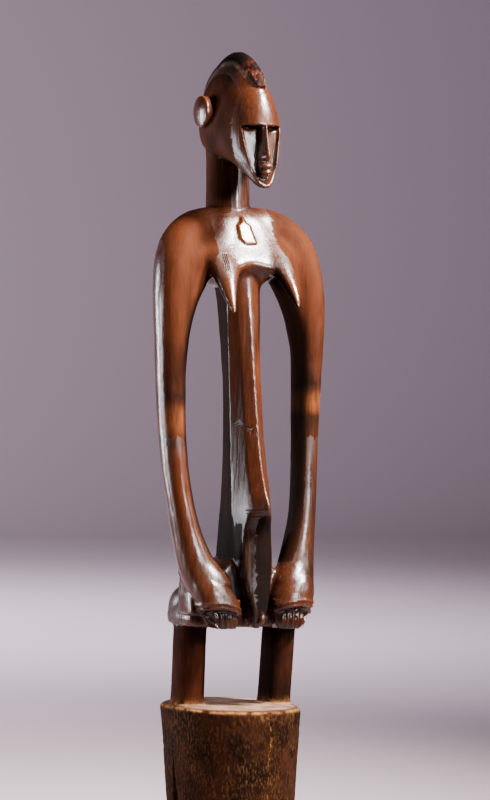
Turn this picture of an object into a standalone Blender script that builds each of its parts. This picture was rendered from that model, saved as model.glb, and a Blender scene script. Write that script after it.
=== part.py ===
"""Deble rhythm pounder: a standing ancestor figure and the pounder under it, carved from one log.

Metres, +Z up. The figure faces -Y and the origin is the centre of the pounder's underside.
The figure's places are drawn in millimetres at DRAWN_HEIGHT and follow FIGURE_HEIGHT as shares.
"""
import math

import bmesh
import bpy
from mathutils import Matrix, Vector

# Driving dimensions
FIGURE_HEIGHT = 0.880
BASE_HEIGHT = 0.200
BASE_TOP_DIAMETER = 0.190
BASE_FOOT_DIAMETER = 0.168
BASE_RIM_ROUND = 0.006
LEG_WIDTH = 0.042
LEG_DEPTH = 0.045
LEG_FLARE = 0.002
BASE_TOP_SLOPE = 0.035

# How the surface is worked
CARVING_CELL = 0.0020
SMOOTHING_STEPS = 4
TRIANGLES = 9400
FLOOR_OVERCUT = 0.012
RING_POINTS = 48

# The figure's own drawing, in millimetres above its feet
DRAWN_HEIGHT = 880.0
LEG_FOOT_X = 66.0
LEG_HIP_X = 67.5
LEG_HIP_Y = -12.9
CHEST_SHARES = (0.0, 0.2, 0.4, 0.6, 0.75, 0.9, 1.0)
HIP_UNDERSIDE = 108.0
BROW_Z = 780.0
CHIN_Z = 701.0
HEAD_CENTRE = Vector((0.0, -24.0, 790.0))
HEAD_NOD = 0.083
CREST_RAISE = 4.5
CREST_FRONT_Z = 829.0
CREST_NAPE_Z = 792.0
SPOOL_CENTRE = Vector((0.0, -8.0, 796.5))
FINGERS = 5
FINGER_PITCH = 7.2
FINGERS_X = 50.5
CARVED_EDGE = 2.6
FINGER_RADIUS = 2.8
PLAQUE_THICKNESS = 4.0
PLAQUE_LEAN = 28.0

WOOD_COLOUR = (0.10, 0.032, 0.014, 1.0)


def drawn(value):
    """A drawn millimetre in metres at the figure's own height."""
    return value * FIGURE_HEIGHT / DRAWN_HEIGHT


def place(point):
    """A drawn point, above the feet, in the part's frame, with the log's slight slope."""
    x, y, z = point
    lift = slope_at(z) * slope_reach(x, y)
    return Vector((drawn(x), drawn(y), BASE_HEIGHT + drawn(z + lift)))


def slope_reach(x, y):
    """Distance along the direction in which the log's levels fall, toward the left front."""
    return 0.88 * x - 0.47 * y


def slope_at(z):
    """How steeply the carving's levels run at a height: down below the hands, up at the chest."""
    low = -BASE_TOP_SLOPE
    rows = (
        (0.0, low), (180.0, low), (330.0, 0.0), (450.0, 0.0),
        (560.0, 0.022), (680.0, 0.022), (740.0, 0.0),
    )
    return read_row(rows, z)[0]


def smooth_rows(rows, steps):
    """Rows of numbers read along a smooth curve that passes through each of them."""
    result = []
    last = len(rows) - 1
    for index in range(last):
        before = rows[max(index - 1, 0)]
        after = rows[min(index + 2, last)]
        for step in range(steps):
            t = step / steps
            row = []
            for a, b, c, d in zip(before, rows[index], rows[index + 1], after):
                bend = 2.0 * b + (c - a) * t
                bend += (2.0 * a - 5.0 * b + 4.0 * c - d) * t * t
                bend += (3.0 * b - a - 3.0 * c + d) * t ** 3
                row.append(0.5 * bend)
            result.append(row)
    result.append(list(rows[last]))
    return result


def read_row(rows, key):
    """The values beside a key in short rows that start with rising keys, read straight between."""
    if key <= rows[0][0]:
        return rows[0][1:]
    for low, high in zip(rows, rows[1:]):
        if key <= high[0]:
            share = (key - low[0]) / (high[0] - low[0])
            return [a + (b - a) * share for a, b in zip(low[1:], high[1:])]
    return rows[-1][1:]


def oval(half_x, half_y, power, count=RING_POINTS):
    """Points round an oval; a power over 2 squares it and one under 2 points it."""
    points = []
    for index in range(count):
        angle = math.tau * index / count
        c = math.cos(angle)
        s = math.sin(angle)
        x = half_x * math.copysign(abs(c) ** (2.0 / power), c)
        y = half_y * math.copysign(abs(s) ** (2.0 / power), s)
        points.append((x, y))
    return points


def add_loft(body, rings):
    """A closed skin over rings of equal count, in metres."""
    levels = [[body.verts.new(point) for point in ring] for ring in rings]
    count = len(levels[0])
    faces = []
    for low, high in zip(levels, levels[1:]):
        for index in range(count):
            after = (index + 1) % count
            faces.append(body.faces.new((low[index], low[after], high[after], high[index])))
    faces.append(body.faces.new(levels[0][::-1]))
    faces.append(body.faces.new(levels[-1]))
    bmesh.ops.recalc_face_normals(body, faces=faces)


def both_sides(points_rings):
    """The rings as drawn and their mirror image across the figure's middle."""
    mirrored = [[Vector((-p[0], p[1], p[2])) for p in ring] for ring in points_rings]
    return [points_rings, mirrored]


def add_drawn(body, rings, mirror=False):
    """A drawn loft, on both sides where it has a twin."""
    for copy in both_sides(rings) if mirror else [rings]:
        add_loft(body, [[place(point) for point in ring] for ring in copy])


def level_rings(rows, steps):
    """Level ovals. A row is height, centre x, centre y, half width, half depth and power."""
    rings = []
    for z, x, y, half_x, half_y, power in smooth_rows(rows, steps):
        rings.append([Vector((x + px, y + py, z)) for px, py in oval(half_x, half_y, power)])
    return rings


def swept_rings(rows, steps):
    """Ovals square to a path. A row is x, y, z, half width, half depth and power."""
    path = smooth_rows(rows, steps)
    rings = []
    for index, (x, y, z, half_width, half_depth, power) in enumerate(path):
        before = Vector(path[max(index - 1, 0)][:3])
        after = Vector(path[min(index + 1, len(path) - 1)][:3])
        along = (after - before).normalized()
        depth = Vector((0.0, 1.0, 0.0))
        depth = (depth - along * depth.dot(along)).normalized()
        across = along.cross(depth)
        centre = Vector((x, y, z))
        rings.append([centre + across * px + depth * py for px, py in oval(half_width, half_depth, power)])
    return rings


def add_ellipsoid(body, centre, half_sizes):
    """A rounded lump."""
    shape = Matrix.Diagonal([drawn(size) for size in half_sizes]).to_4x4()
    matrix = Matrix.Translation(place(centre)) @ shape
    bmesh.ops.create_uvsphere(body, u_segments=32, v_segments=20, radius=1.0, matrix=matrix)


def base_pounder(body):
    """The turned pounder: a short log, widest at its top rim."""
    top = BASE_TOP_DIAMETER / 2.0
    foot = BASE_FOOT_DIAMETER / 2.0
    count = 96
    rounds = 5
    profile = [(foot, -FLOOR_OVERCUT), (foot, 0.0)]
    for share in (0.35, 0.7, 0.9):
        profile.append((foot + (top - foot) * share ** 1.3, BASE_HEIGHT * share))
    for step in range(rounds):
        angle = math.pi / 2.0 * step / (rounds - 1)
        inset = BASE_RIM_ROUND * (1.0 - math.cos(angle))
        rise = BASE_RIM_ROUND * math.sin(angle)
        profile.append((top - inset, BASE_HEIGHT - BASE_RIM_ROUND + rise))
    rings = []
    for radius, z in profile:
        ring = []
        for index in range(count):
            angle = math.tau * index / count
            x = radius * math.cos(angle)
            y = radius * math.sin(angle)
            fall = BASE_TOP_SLOPE * slope_reach(x, y) * max(z, 0.0) / BASE_HEIGHT
            ring.append(Vector((x, y, z - fall)))
        rings.append(ring)
    add_loft(body, rings)


def legs(body):
    """Two straight legs that lean a little forward and flare where they meet the pounder."""
    width = LEG_WIDTH / drawn(1.0) / 2.0
    depth = LEG_DEPTH / drawn(1.0) / 2.0
    flare = LEG_FLARE / drawn(1.0)
    rows = []
    spreads = (
        (-0.08, 1.0), (0.0, 1.0), (0.05, 0.2), (0.3, 0.0), (0.7, 0.0), (1.0, 0.0), (1.04, -0.4),
    )
    for share, spread in spreads:
        x = LEG_FOOT_X + (LEG_HIP_X - LEG_FOOT_X) * share
        y = LEG_HIP_Y * share
        rows.append((HIP_UNDERSIDE * share, x, y, width + flare * spread, depth + flare * spread, 2.4))
    add_drawn(body, level_rings(rows, 4), mirror=True)


def outline_ring(corners, z, per_edge):
    """A level ring with straight edges between its corners."""
    ring = []
    for start, end in zip(corners, corners[1:] + corners[:1]):
        for step in range(per_edge):
            share = step / per_edge
            x = start[0] + (end[0] - start[0]) * share
            y = start[1] + (end[1] - start[1]) * share
            ring.append(Vector((x, y, z)))
    return ring


def hip_block_ring(z, half_x, front, back):
    """A level section of the hip block: square corners in front, rounder ones behind."""
    middle = -10.0
    ring = []
    for px, py in oval(half_x, 1.0, 7.0):
        reach = middle - front if py < 0.0 else back - middle
        ring.append(Vector((px, middle + py * reach, z)))
    for point in ring:
        if point.y > middle:
            inward = (point.y - middle) / (back - middle)
            point.x *= 1.0 - 0.25 * inward ** 3
    return ring


def pelvis(body):
    """The block that carries trunk and hands: flat below, with rounded buttocks and hip panels.

    A row is height, half width, front y and back y; a lobe's row is height and radius.
    """
    rows = (
        (HIP_UNDERSIDE, 86.5, -58.0, 42.0),
        (111.0, 88.5, -60.0, 44.0),
        (120.0, 89.5, -60.5, 45.0),
        (128.0, 87.0, -59.5, 44.0),
        (136.0, 83.0, -58.5, 43.0),
        (150.0, 78.0, -58.0, 38.0),
        (166.0, 66.0, -57.0, 26.0),
        (182.0, 48.0, -56.0, 14.0),
        (198.0, 30.0, -56.0, 4.0),
    )
    add_drawn(body, [hip_block_ring(*row) for row in smooth_rows(rows, 4)])
    lobe = [
        (z, 45.0, 8.0, radius, radius + 2.0, 2.0)
        for z, radius in (
            (HIP_UNDERSIDE, 37.0), (116.0, 39.5), (128.0, 40.0), (142.0, 37.0),
            (153.0, 30.0), (161.0, 20.0), (165.0, 8.0),
        )
    ]
    add_drawn(body, level_rings(lobe, 3), mirror=True)
    panel = []
    for z, x, front, back, thick in (
        (128.0, 82.0, -64.0, -22.0, 8.0),
        (150.0, 81.0, -60.0, -20.0, 8.0),
        (178.0, 76.0, -52.0, -14.0, 7.0),
        (196.0, 71.0, -46.0, -16.0, 4.0),
    ):
        middle = (front + back) / 2.0
        outline = oval(thick, (back - front) / 2.0, 5.0)
        panel.append([Vector((x + px, middle + py, z)) for px, py in outline])
    add_drawn(body, panel, mirror=True)
    add_ellipsoid(body, (0.0, -80.0, 118.0), (8.0, 9.0, 9.0))


def trunk_ring(row):
    """A faceted section: keel in front, a soft edge beside it, a sharp side edge and a flat back."""
    z, keel, edge_x, edge_y, side_x, side_y, back_x, back_y = row
    half = [(0.0, keel), (edge_x, edge_y), (side_x, side_y), (back_x, back_y), (0.0, back_y + 2.0)]
    return outline_ring(half + [(-x, y) for x, y in half[-2:0:-1]], z, 4)


def trunk(body):
    """The long trunk, bulging forward to the pointed navel and closing to a wedge between the hands.

    A row is height, keel y, front edge x and y, side edge x and y, back edge x and y.
    """
    rows = [
        (612.0, -54.0, 20.0, -46.0, 28.0, -26.0, 25.0, 12.0),
        (570.0, -58.0, 20.0, -46.0, 27.0, -35.0, 24.0, 6.0),
        (524.0, -61.0, 19.5, -47.0, 25.0, -38.0, 19.0, 3.0),
        (474.0, -66.0, 17.0, -53.0, 24.0, -38.0, 16.0, -1.0),
        (424.0, -72.0, 16.0, -59.0, 24.0, -38.0, 14.5, -4.0),
        (374.0, -79.0, 16.0, -65.0, 24.0, -38.5, 14.5, -4.0),
        (324.0, -89.0, 16.0, -73.0, 24.5, -41.0, 15.0, -3.0),
        (292.0, -100.0, 15.5, -82.0, 25.0, -44.0, 16.0, -2.0),
        (268.0, -112.0, 15.0, -88.0, 25.0, -47.0, 17.0, 0.0),
        (258.0, -104.0, 17.0, -85.0, 25.0, -48.0, 17.5, 1.0),
        (236.0, -87.0, 20.0, -79.0, 25.0, -51.0, 18.5, 3.0),
        (205.0, -84.0, 21.0, -80.0, 24.5, -58.0, 20.0, 5.0),
        (178.0, -84.0, 19.5, -81.0, 22.0, -68.0, 20.0, 6.0),
        (150.0, -87.0, 14.0, -85.0, 16.0, -78.0, 18.0, 0.0),
        (125.0, -88.0, 7.0, -87.0, 8.5, -83.0, 12.0, -20.0),
        (108.0, -78.0, 4.0, -77.0, 5.0, -74.0, 8.0, -30.0),
    ]
    add_drawn(body, [trunk_ring(row) for row in smooth_rows(rows, 3)])


def shoulders_and_arms(body):
    """One arch: over the shoulder, down the long arm and forward to the hand on the thigh.

    A row is x, y, z, half width across the arm, half depth and power.
    """
    rows = [
        (8.0, -2.0, 646.0, 24.0, 27.0, 2.0),
        (38.0, -3.0, 645.0, 25.0, 29.0, 2.0),
        (62.0, -6.0, 638.0, 25.5, 31.0, 2.0),
        (81.0, -12.0, 622.0, 26.0, 32.0, 2.0),
        (93.0, -18.0, 598.0, 26.5, 32.0, 2.0),
        (98.5, -24.0, 565.0, 26.5, 31.0, 2.0),
        (101.0, -27.0, 530.0, 25.5, 29.0, 2.0),
        (102.5, -27.0, 490.0, 22.6, 26.0, 2.0),
        (103.0, -25.0, 445.0, 20.0, 24.0, 2.0),
        (101.5, -24.0, 390.0, 18.5, 23.0, 2.0),
        (99.5, -26.0, 345.0, 17.5, 22.0, 2.0),
        (96.5, -29.0, 305.0, 17.2, 21.5, 2.0),
        (91.0, -35.0, 260.0, 17.8, 21.5, 2.0),
        (83.5, -39.5, 222.0, 20.5, 23.0, 2.0),
        (74.0, -46.5, 187.0, 25.0, 25.0, 2.1),
        (63.5, -58.5, 163.0, 28.5, 26.0, 2.2),
        (57.5, -66.0, 150.0, 28.5, 24.0, 2.3),
    ]
    add_drawn(body, swept_rings(rows, 4), mirror=True)
    web = [
        (648.0, 56.0, -4.0, 18.0, 18.0, 2.0),
        (624.0, 62.0, -14.0, 26.0, 24.0, 2.0),
        (600.0, 66.0, -22.0, 28.0, 28.0, 2.0),
        (571.0, 70.0, -23.0, 22.0, 26.0, 2.0),
        (544.0, 82.0, -24.0, 19.0, 25.0, 2.0),
        (517.0, 89.0, -25.0, 15.5, 24.0, 2.0),
        (490.0, 94.0, -25.0, 14.0, 23.0, 2.0),
        (458.0, 98.0, -25.0, 12.0, 19.0, 2.0),
    ]
    add_drawn(body, level_rings(web, 4), mirror=True)


def forearm_edges(body):
    """The flat outer back of each forearm, which meets its front in a sharp edge.

    A row is height, the edge's x and y, and the forearm's middle and half width there.
    """
    rings = []
    for z, edge_x, edge_y, middle_x, middle_y, half in (
        (212.0, 91.0, -38.0, 80.8, -41.5, 19.4),
        (200.0, 93.5, -33.0, 77.5, -43.9, 21.1),
        (186.0, 93.0, -29.0, 73.5, -47.0, 23.2),
        (174.0, 91.5, -30.0, 68.0, -53.0, 25.2),
        (163.0, 88.0, -42.0, 63.0, -58.5, 27.0),
        (152.0, 85.0, -46.0, 59.7, -62.7, 27.4),
        (143.0, 83.0, -55.0, 57.0, -66.2, 27.7),
        (133.5, 82.0, -66.5, 54.2, -69.8, 28.0),
    ):
        corners = [
            (edge_x, edge_y),
            (middle_x + 0.45 * half, middle_y + 0.80 * half),
            (middle_x - 0.3 * half, middle_y),
            (middle_x + 0.70 * half, middle_y - 0.62 * half),
        ]
        rings.append(outline_ring(corners, z, 8))
    add_drawn(body, rings, mirror=True)


def palms(body):
    """The flat paddle of each hand under the wrist, cut off slantwise on its outer side."""
    rings = []
    for z, outer_x, outer_y, front in (
        (146.0, 80.0, -62.0, -82.0),
        (138.0, 80.0, -66.0, -80.0),
        (133.0, 79.0, -68.0, -79.0),
        (124.0, 73.0, -75.0, -79.5),
        (115.0, 67.0, -80.0, -80.5),
        (HIP_UNDERSIDE, 61.5, -82.0, -81.0),
    ):
        corners = [
            (26.0, -52.0), (25.5, front + 5.0), (29.0, front), (outer_x - 5.0, min(front, outer_y - 1.0)),
            (outer_x, outer_y + 2.0), (outer_x, -50.0),
        ]
        rings.append(outline_ring(corners, z, 6))
    add_drawn(body, rings, mirror=True)


def cuff_lip(share):
    """Height of the wrist's lower lip across the hand, from its inner to its outer side."""
    return read_row(((0.0, 128.0), (0.6, 135.5), (1.0, 132.5)), share)[0] + 1.6 * math.sin(math.pi * share)


def cuffs(body):
    """The back of each hand, which overhangs the fingers, and its two raised bands."""
    rings = []
    for rise, x, y, half_x, half_y in (
        (30.0, 60.5, -62.0, 25.5, 22.5),
        (20.0, 57.0, -66.0, 28.2, 23.0),
        (10.0, 54.8, -69.0, 29.2, 22.6),
        (0.0, 54.0, -70.0, 28.7, 21.5),
    ):
        ring = []
        for px, py in oval(half_x, half_y, 2.3):
            ring.append(Vector((x + px, y + py, cuff_lip((px / half_x + 1.0) / 2.0) + rise)))
        rings.append(ring)
    add_drawn(body, rings, mirror=True)
    for rise in (2.0, 7.0):
        rows = []
        for step in range(9):
            angle = math.radians(-88.0 + 21.5 * step)
            across = math.sin(angle)
            x = 54.2 + 29.2 * math.copysign(abs(across) ** 0.87, across)
            y = -69.6 - 22.4 * max(math.cos(angle), 0.0) ** 0.87
            rows.append((x, y, cuff_lip((across + 1.0) / 2.0) + rise, 1.6, 1.6, 2.0))
        add_drawn(body, swept_rings(rows, 3), mirror=True)


def fingers(body):
    """Fingers side by side on each palm, pointing down from under the wrist bands."""
    for index in range(FINGERS):
        offset = index - (FINGERS - 1) / 2.0
        x = FINGERS_X + offset * FINGER_PITCH
        top_z = 132.5 - 0.9 * offset * offset
        front = -82.0 + 0.5 * offset * offset
        rows = [
            (x + 1.6, front + 5.0, top_z + 3.0, 1.2, 1.2, 2.0),
            (x + 1.0, front + 1.0, top_z - 1.0, FINGER_RADIUS, FINGER_RADIUS, 2.0),
            (x, front - 0.6, 123.0, FINGER_RADIUS, FINGER_RADIUS + 0.4, 2.0),
            (x - 1.8 - 0.4 * offset, front - 0.4, 114.0, FINGER_RADIUS, FINGER_RADIUS, 2.0),
            (x - 2.6 - 0.6 * offset, front + 1.5, 109.6, 1.8, 1.8, 2.0),
        ]
        add_drawn(body, swept_rings(rows, 3), mirror=True)


def chest_ring(row):
    """A level section of the chest: front depths at shares of the half width, then a round back."""
    z, half, back = row[0], row[1], row[-1]
    depths = [(share, y) for share, y in zip(CHEST_SHARES, (*row[2:-1], row[-2] * 0.45))]
    side_y = depths[-1][1]
    right = []
    for step in range(15):
        share = step / 15.0
        right.append((half * share, read_row(depths, share)[0]))
    for step in range(9):
        angle = math.pi / 2.0 * step / 8.0
        right.append((half * math.cos(angle) ** 0.8, side_y + (back - side_y) * math.sin(angle)))
    left = [(-x, y) for x, y in reversed(right[1:-1])]
    return [Vector((x, y, z)) for x, y in right + left]


def yoke(body):
    """The chest between the shoulders: a sheet that slopes forward to its arched lower edge.

    A row is height, half width, the front's y at each share of the half width, and the back's y.
    """
    rows = [
        (669.0, 38.0, -18.0, -18.0, -17.0, -14.0, -10.0, -6.0, 26.0),
        (656.0, 60.0, -30.0, -30.0, -29.5, -27.0, -23.0, -17.0, 33.0),
        (640.0, 76.0, -38.5, -38.5, -38.0, -35.0, -31.0, -26.0, 36.0),
        (624.0, 82.0, -47.5, -47.5, -46.5, -43.5, -38.0, -31.0, 33.0),
        (610.0, 82.0, -55.5, -55.5, -55.0, -51.5, -44.0, -34.0, 28.0),
        (600.0, 80.0, -61.0, -61.5, -61.0, -57.0, -48.0, -35.0, 24.0),
        (593.0, 78.0, -64.5, -65.5, -65.0, -61.0, -50.0, -34.0, 20.0),
        (588.0, 74.0, -65.5, -68.0, -68.0, -63.5, -50.0, -32.0, 17.0),
        (584.0, 68.0, -61.0, -66.5, -70.0, -64.0, -48.0, -30.0, 14.0),
        (577.0, 56.0, -51.0, -56.0, -62.0, -58.0, -44.0, -26.0, 10.0),
        (564.0, 40.0, -46.0, -46.0, -46.0, -44.0, -38.0, -22.0, 6.0),
    ]
    add_drawn(body, [chest_ring(row) for row in smooth_rows(rows, 3)])


def breasts(body):
    """Long pointed breasts that carry on the slope of the chest.

    A row is height, centre x, centre y, half width, half depth and power.
    """
    rows = [
        (624.0, 42.5, -28.0, 18.0, 13.0, 2.0),
        (613.0, 42.3, -36.5, 22.5, 16.5, 2.0),
        (604.0, 41.8, -43.0, 24.0, 18.2, 2.0),
        (594.5, 41.3, -50.2, 22.8, 18.3, 2.1),
        (585.0, 42.0, -58.0, 20.5, 17.5, 2.1),
        (575.0, 43.5, -66.2, 17.3, 16.0, 2.0),
        (565.0, 45.0, -74.0, 14.0, 14.5, 2.0),
        (555.5, 46.4, -81.5, 11.3, 12.5, 1.9),
        (545.5, 47.4, -89.0, 8.7, 10.0, 1.9),
        (536.5, 48.0, -96.0, 6.3, 7.2, 1.9),
        (529.5, 48.1, -101.0, 4.6, 5.2, 2.0),
        (526.0, 48.1, -103.0, 3.2, 3.6, 2.0),
    ]
    add_drawn(body, level_rings(rows, 4), mirror=True)


def plaque(body):
    """The small raised plate on the breastbone, pointed above, square below, one corner chipped."""
    outline = [
        (0.0, 24.0), (3.0, 13.0), (8.6, 9.0), (11.4, -20.0),
        (-4.5, -20.0), (-10.0, -11.0), (-9.6, 9.0), (-3.0, 13.0),
    ]
    lean = math.radians(PLAQUE_LEAN)
    centre = Vector((0.0, -40.6, 634.0))
    rings = []
    for depth in (-8.0, PLAQUE_THICKNESS):
        ring = []
        for x, along in outline:
            y = centre.y + along * math.sin(lean) - depth * math.cos(lean)
            z = centre.z + along * math.cos(lean) + depth * math.sin(lean)
            ring.append(Vector((x, y, z)))
        rings.append(ring)
    add_drawn(body, rings)


def neck(body):
    """A stout neck with a sharp front edge, standing crisply on the shoulders."""
    rings = []
    for z, spread in ((640.0, 1.03), (664.0, 1.0), (700.0, 0.97), (735.0, 0.97), (760.0, 1.0)):
        ring = []
        for px, py in oval(30.5 * spread, 29.0 * spread, 2.0):
            if py < 0.0:
                py *= 0.94 + 0.10 * (1.0 - abs(px) / (30.5 * spread)) ** 2
            ring.append(Vector((px, 8.0 + py, z)))
        rings.append(ring)
    add_drawn(body, rings)


def heart_half_width(z):
    """Half the width of the sunk face at a height, from the brow down to the chin."""
    rows = ((CHIN_Z, 1.0), (707.0, 11.0), (720.0, 17.0), (741.0, 22.0), (759.0, 25.5), (BROW_Z, 29.0))
    return read_row(rows, z)[0]


def face_floor(x, z):
    """How far forward the sunk cheeks reach."""
    fall = (BROW_Z - z) / (BROW_Z - CHIN_Z)
    return -(85.0 + 6.0 * fall) + 0.22 * abs(x)


def crest_half_width(y):
    """Half the width of the raised crest from forehead to nape."""
    rows = (
        (-86.0, 9.5), (-78.0, 11.0), (-62.0, 13.7), (-20.0, 14.2),
        (0.0, 14.5), (20.0, 17.0), (36.0, 18.5),
    )
    return read_row(rows, y)[0]


def carved_step(distance):
    """From 0 outside a carved edge to 1 inside it, over the width of the edge."""
    return min(max(distance / CARVED_EDGE, 0.0), 1.0)


def carve_head_point(point):
    """Sinks the face below the brow and raises the crest over the skull."""
    x, y, z = point
    if CHIN_Z < z < BROW_Z and y < -60.0:
        inside = carved_step(heart_half_width(z) - abs(x)) * carved_step(BROW_Z - z)
        y += (max(y, face_floor(x, z)) - y) * inside
    edge = carved_step(crest_half_width(y) - abs(x))
    start = CREST_FRONT_Z if y < -20.0 else CREST_NAPE_Z
    outward = (Vector((0.0, y, z)) - HEAD_CENTRE).normalized()
    return Vector((x, y, z)) + outward * CREST_RAISE * edge * carved_step(z - start)


def head(body):
    """The long head: a jaw that slopes to the chin, a sunk heart-shaped face and a high skull.

    A row is height, centre x, centre y, half width, half depth and power.
    """
    rows = [
        (696.5, 0.0, -96.0, 5.0, 4.0, 2.0),
        (700.0, 0.0, -94.0, 9.5, 9.0, 2.0),
        (706.0, 0.0, -90.0, 14.0, 14.5, 2.0),
        (718.0, 0.0, -80.5, 20.5, 24.5, 2.0),
        (732.0, 0.0, -67.5, 28.5, 38.0, 2.1),
        (744.0, 0.0, -40.0, 37.0, 66.0, 2.1),
        (754.0, 0.0, -29.0, 41.0, 75.0, 2.15),
        (773.0, 0.0, -25.5, 43.0, 78.5, 2.2),
        (795.0, 0.0, -23.5, 40.5, 77.0, 2.2),
        (817.0, 0.0, -20.7, 35.5, 72.5, 2.1),
        (831.0, 0.0, -18.5, 30.5, 67.0, 2.0),
        (846.0, 0.0, -20.0, 24.5, 57.0, 2.0),
        (859.0, 0.0, -21.5, 16.5, 43.0, 2.0),
        (868.0, 0.0, -22.0, 10.0, 30.0, 2.0),
        (874.5, 0.0, -22.0, 3.0, 12.0, 2.0),
    ]
    rings = []
    for z, x, y, half_x, half_y, power in smooth_rows(rows, 6):
        ring = oval(half_x, half_y, power, count=160)
        rings.append([nod(carve_head_point((x + px, y + py, z))) for px, py in ring])
    add_drawn(body, rings)


def nod(point):
    """A point of the upright head, dipped forward with the whole head."""
    return Vector((point[0], point[1], point[2] + HEAD_NOD * point[1]))


def face(body):
    """Long narrow nose and small lips, standing free in the sunk face."""
    rings = []
    for z, half, ridge, root in (
        (792.0, 2.6, -90.0, -80.0),
        (780.0, 4.6, -103.0, -78.0),
        (762.0, 5.4, -106.5, -78.0),
        (748.0, 6.6, -110.0, -78.0),
        (741.0, 8.4, -111.0, -80.0),
        (734.5, 7.0, -106.0, -82.0),
    ):
        shape = [(0.0, ridge), (half * 0.45, ridge + 3.5), (half, -88.0), (half, root)]
        ring = shape + [(-x, y) for x, y in shape[:0:-1]]
        rings.append([nod((x, y, z)) for x, y in ring])
    add_drawn(body, rings)
    for centre_z, reach, half_x in ((726.8, -103.0, 8.8), (718.4, -101.5, 7.6)):
        add_ellipsoid(body, nod((0.0, reach, centre_z)), (half_x, 7.5, 4.2))
    add_ellipsoid(body, nod((0.0, -90.0, 721.0)), (8.5, 10.0, 13.0))


def ear_spools(body):
    """A turned spool on each side of the head: stem, flange, groove and domed disc."""
    profile = (
        (26.0, 13.0),
        (40.0, 13.0),
        (41.5, 19.5),
        (42.5, 21.5),
        (44.5, 21.5),
        (45.6, 18.0),
        (47.0, 18.5),
        (48.0, 21.5),
        (49.5, 21.8),
        (52.0, 19.0),
        (54.2, 13.0),
        (55.4, 6.0),
    )
    count = 40
    rings = []
    for x, radius in profile:
        ring = []
        for index in range(count):
            angle = math.tau * index / count
            offset = Vector((x, radius * math.cos(angle), radius * math.sin(angle)))
            ring.append(SPOOL_CENTRE + offset)
        rings.append(ring)
    add_drawn(body, rings, mirror=True)


def wood_material():
    """Oiled dark hardwood."""
    material = bpy.data.materials.new("dark_oiled_wood")
    material.use_nodes = True
    shader = material.node_tree.nodes["Principled BSDF"]
    shader.inputs["Base Color"].default_value = WOOD_COLOUR
    shader.inputs["Roughness"].default_value = 0.35
    shader.inputs["Metallic"].default_value = 0.0
    return material


def evaluated_mesh(thing):
    """The mesh that an object's modifiers give."""
    graph = bpy.context.evaluated_depsgraph_get()
    return bpy.data.meshes.new_from_object(thing.evaluated_get(graph))


def fuse(thing):
    """Joins the overlapping forms into one skin, softens it and thins it to flat-sided facets."""
    skin = thing.modifiers.new("one_skin", "REMESH")
    skin.mode = "VOXEL"
    skin.voxel_size = CARVING_CELL
    soften = thing.modifiers.new("tool_soft", "SMOOTH")
    soften.factor = 0.5
    soften.iterations = SMOOTHING_STEPS
    whole = evaluated_mesh(thing)
    whole.calc_loop_triangles()
    thin = thing.modifiers.new("facets", "DECIMATE")
    thin.ratio = TRIANGLES / len(whole.loop_triangles)
    thin.use_collapse_triangulate = True
    mesh = evaluated_mesh(thing)
    thing.modifiers.clear()
    thing.data = mesh
    bpy.data.meshes.remove(whole)


def flatten_underside(thing):
    """Cuts the pounder off level at the floor and closes the cut."""
    body = bmesh.new()
    body.from_mesh(thing.data)
    everything = body.verts[:] + body.edges[:] + body.faces[:]
    cut = bmesh.ops.bisect_plane(
        body, geom=everything, dist=1e-6, plane_co=(0.0, 0.0, 0.0), plane_no=(0.0, 0.0, -1.0),
        clear_outer=True,
    )
    rim = [item for item in cut["geom_cut"] if isinstance(item, bmesh.types.BMEdge)]
    bmesh.ops.edgeloop_fill(body, edges=rim)
    bmesh.ops.triangulate(body, faces=body.faces[:])
    bmesh.ops.recalc_face_normals(body, faces=body.faces[:])
    body.to_mesh(thing.data)
    body.free()


def carved_figure(collection):
    """The whole object as the one piece that it is."""
    body = bmesh.new()
    for form in (
        base_pounder, legs, pelvis, trunk, shoulders_and_arms, forearm_edges, palms, cuffs, fingers,
        yoke, breasts, plaque, neck, head, face, ear_spools,
    ):
        form(body)
    mesh = bpy.data.meshes.new("carved_figure")
    body.to_mesh(mesh)
    body.free()
    thing = bpy.data.objects.new("carved_figure", mesh)
    collection.objects.link(thing)
    fuse(thing)
    flatten_underside(thing)
    thing.data.name = "carved_figure"
    thing.data.materials.clear()
    thing.data.materials.append(wood_material())
    return thing


def main():
    for thing in list(bpy.data.objects):
        bpy.data.objects.remove(thing)
    collection = bpy.data.collections.new("deble_rhythm_pounder")
    bpy.context.scene.collection.children.link(collection)
    carved_figure(collection)


main()
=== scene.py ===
"""Deble rhythm pounder: the standing figure and its pounder, carved from one log, oiled and worn.

The figure is drawn in millimetres above its feet, +Z up, facing -Y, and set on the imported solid.
"""

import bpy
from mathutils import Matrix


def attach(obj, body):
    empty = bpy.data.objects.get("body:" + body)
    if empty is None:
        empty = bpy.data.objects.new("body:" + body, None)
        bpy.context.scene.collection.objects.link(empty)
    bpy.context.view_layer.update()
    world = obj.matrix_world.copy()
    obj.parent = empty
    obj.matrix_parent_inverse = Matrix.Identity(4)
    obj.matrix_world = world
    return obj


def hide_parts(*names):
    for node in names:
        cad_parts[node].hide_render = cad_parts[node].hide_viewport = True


bl_info = {
    "name": "Deble rhythm pounder",
    "version": (1, 0, 0),
    "blender": (4, 5, 0),
    "location": "3D View > Sidebar > Pounder",
    "description": "Carves and finishes the figure over its packed solid and sets a plain studio round it",
    "category": "Object",
}

import itertools
import math

import bmesh
import bpy
import numpy as np
from mathutils import Vector

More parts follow.
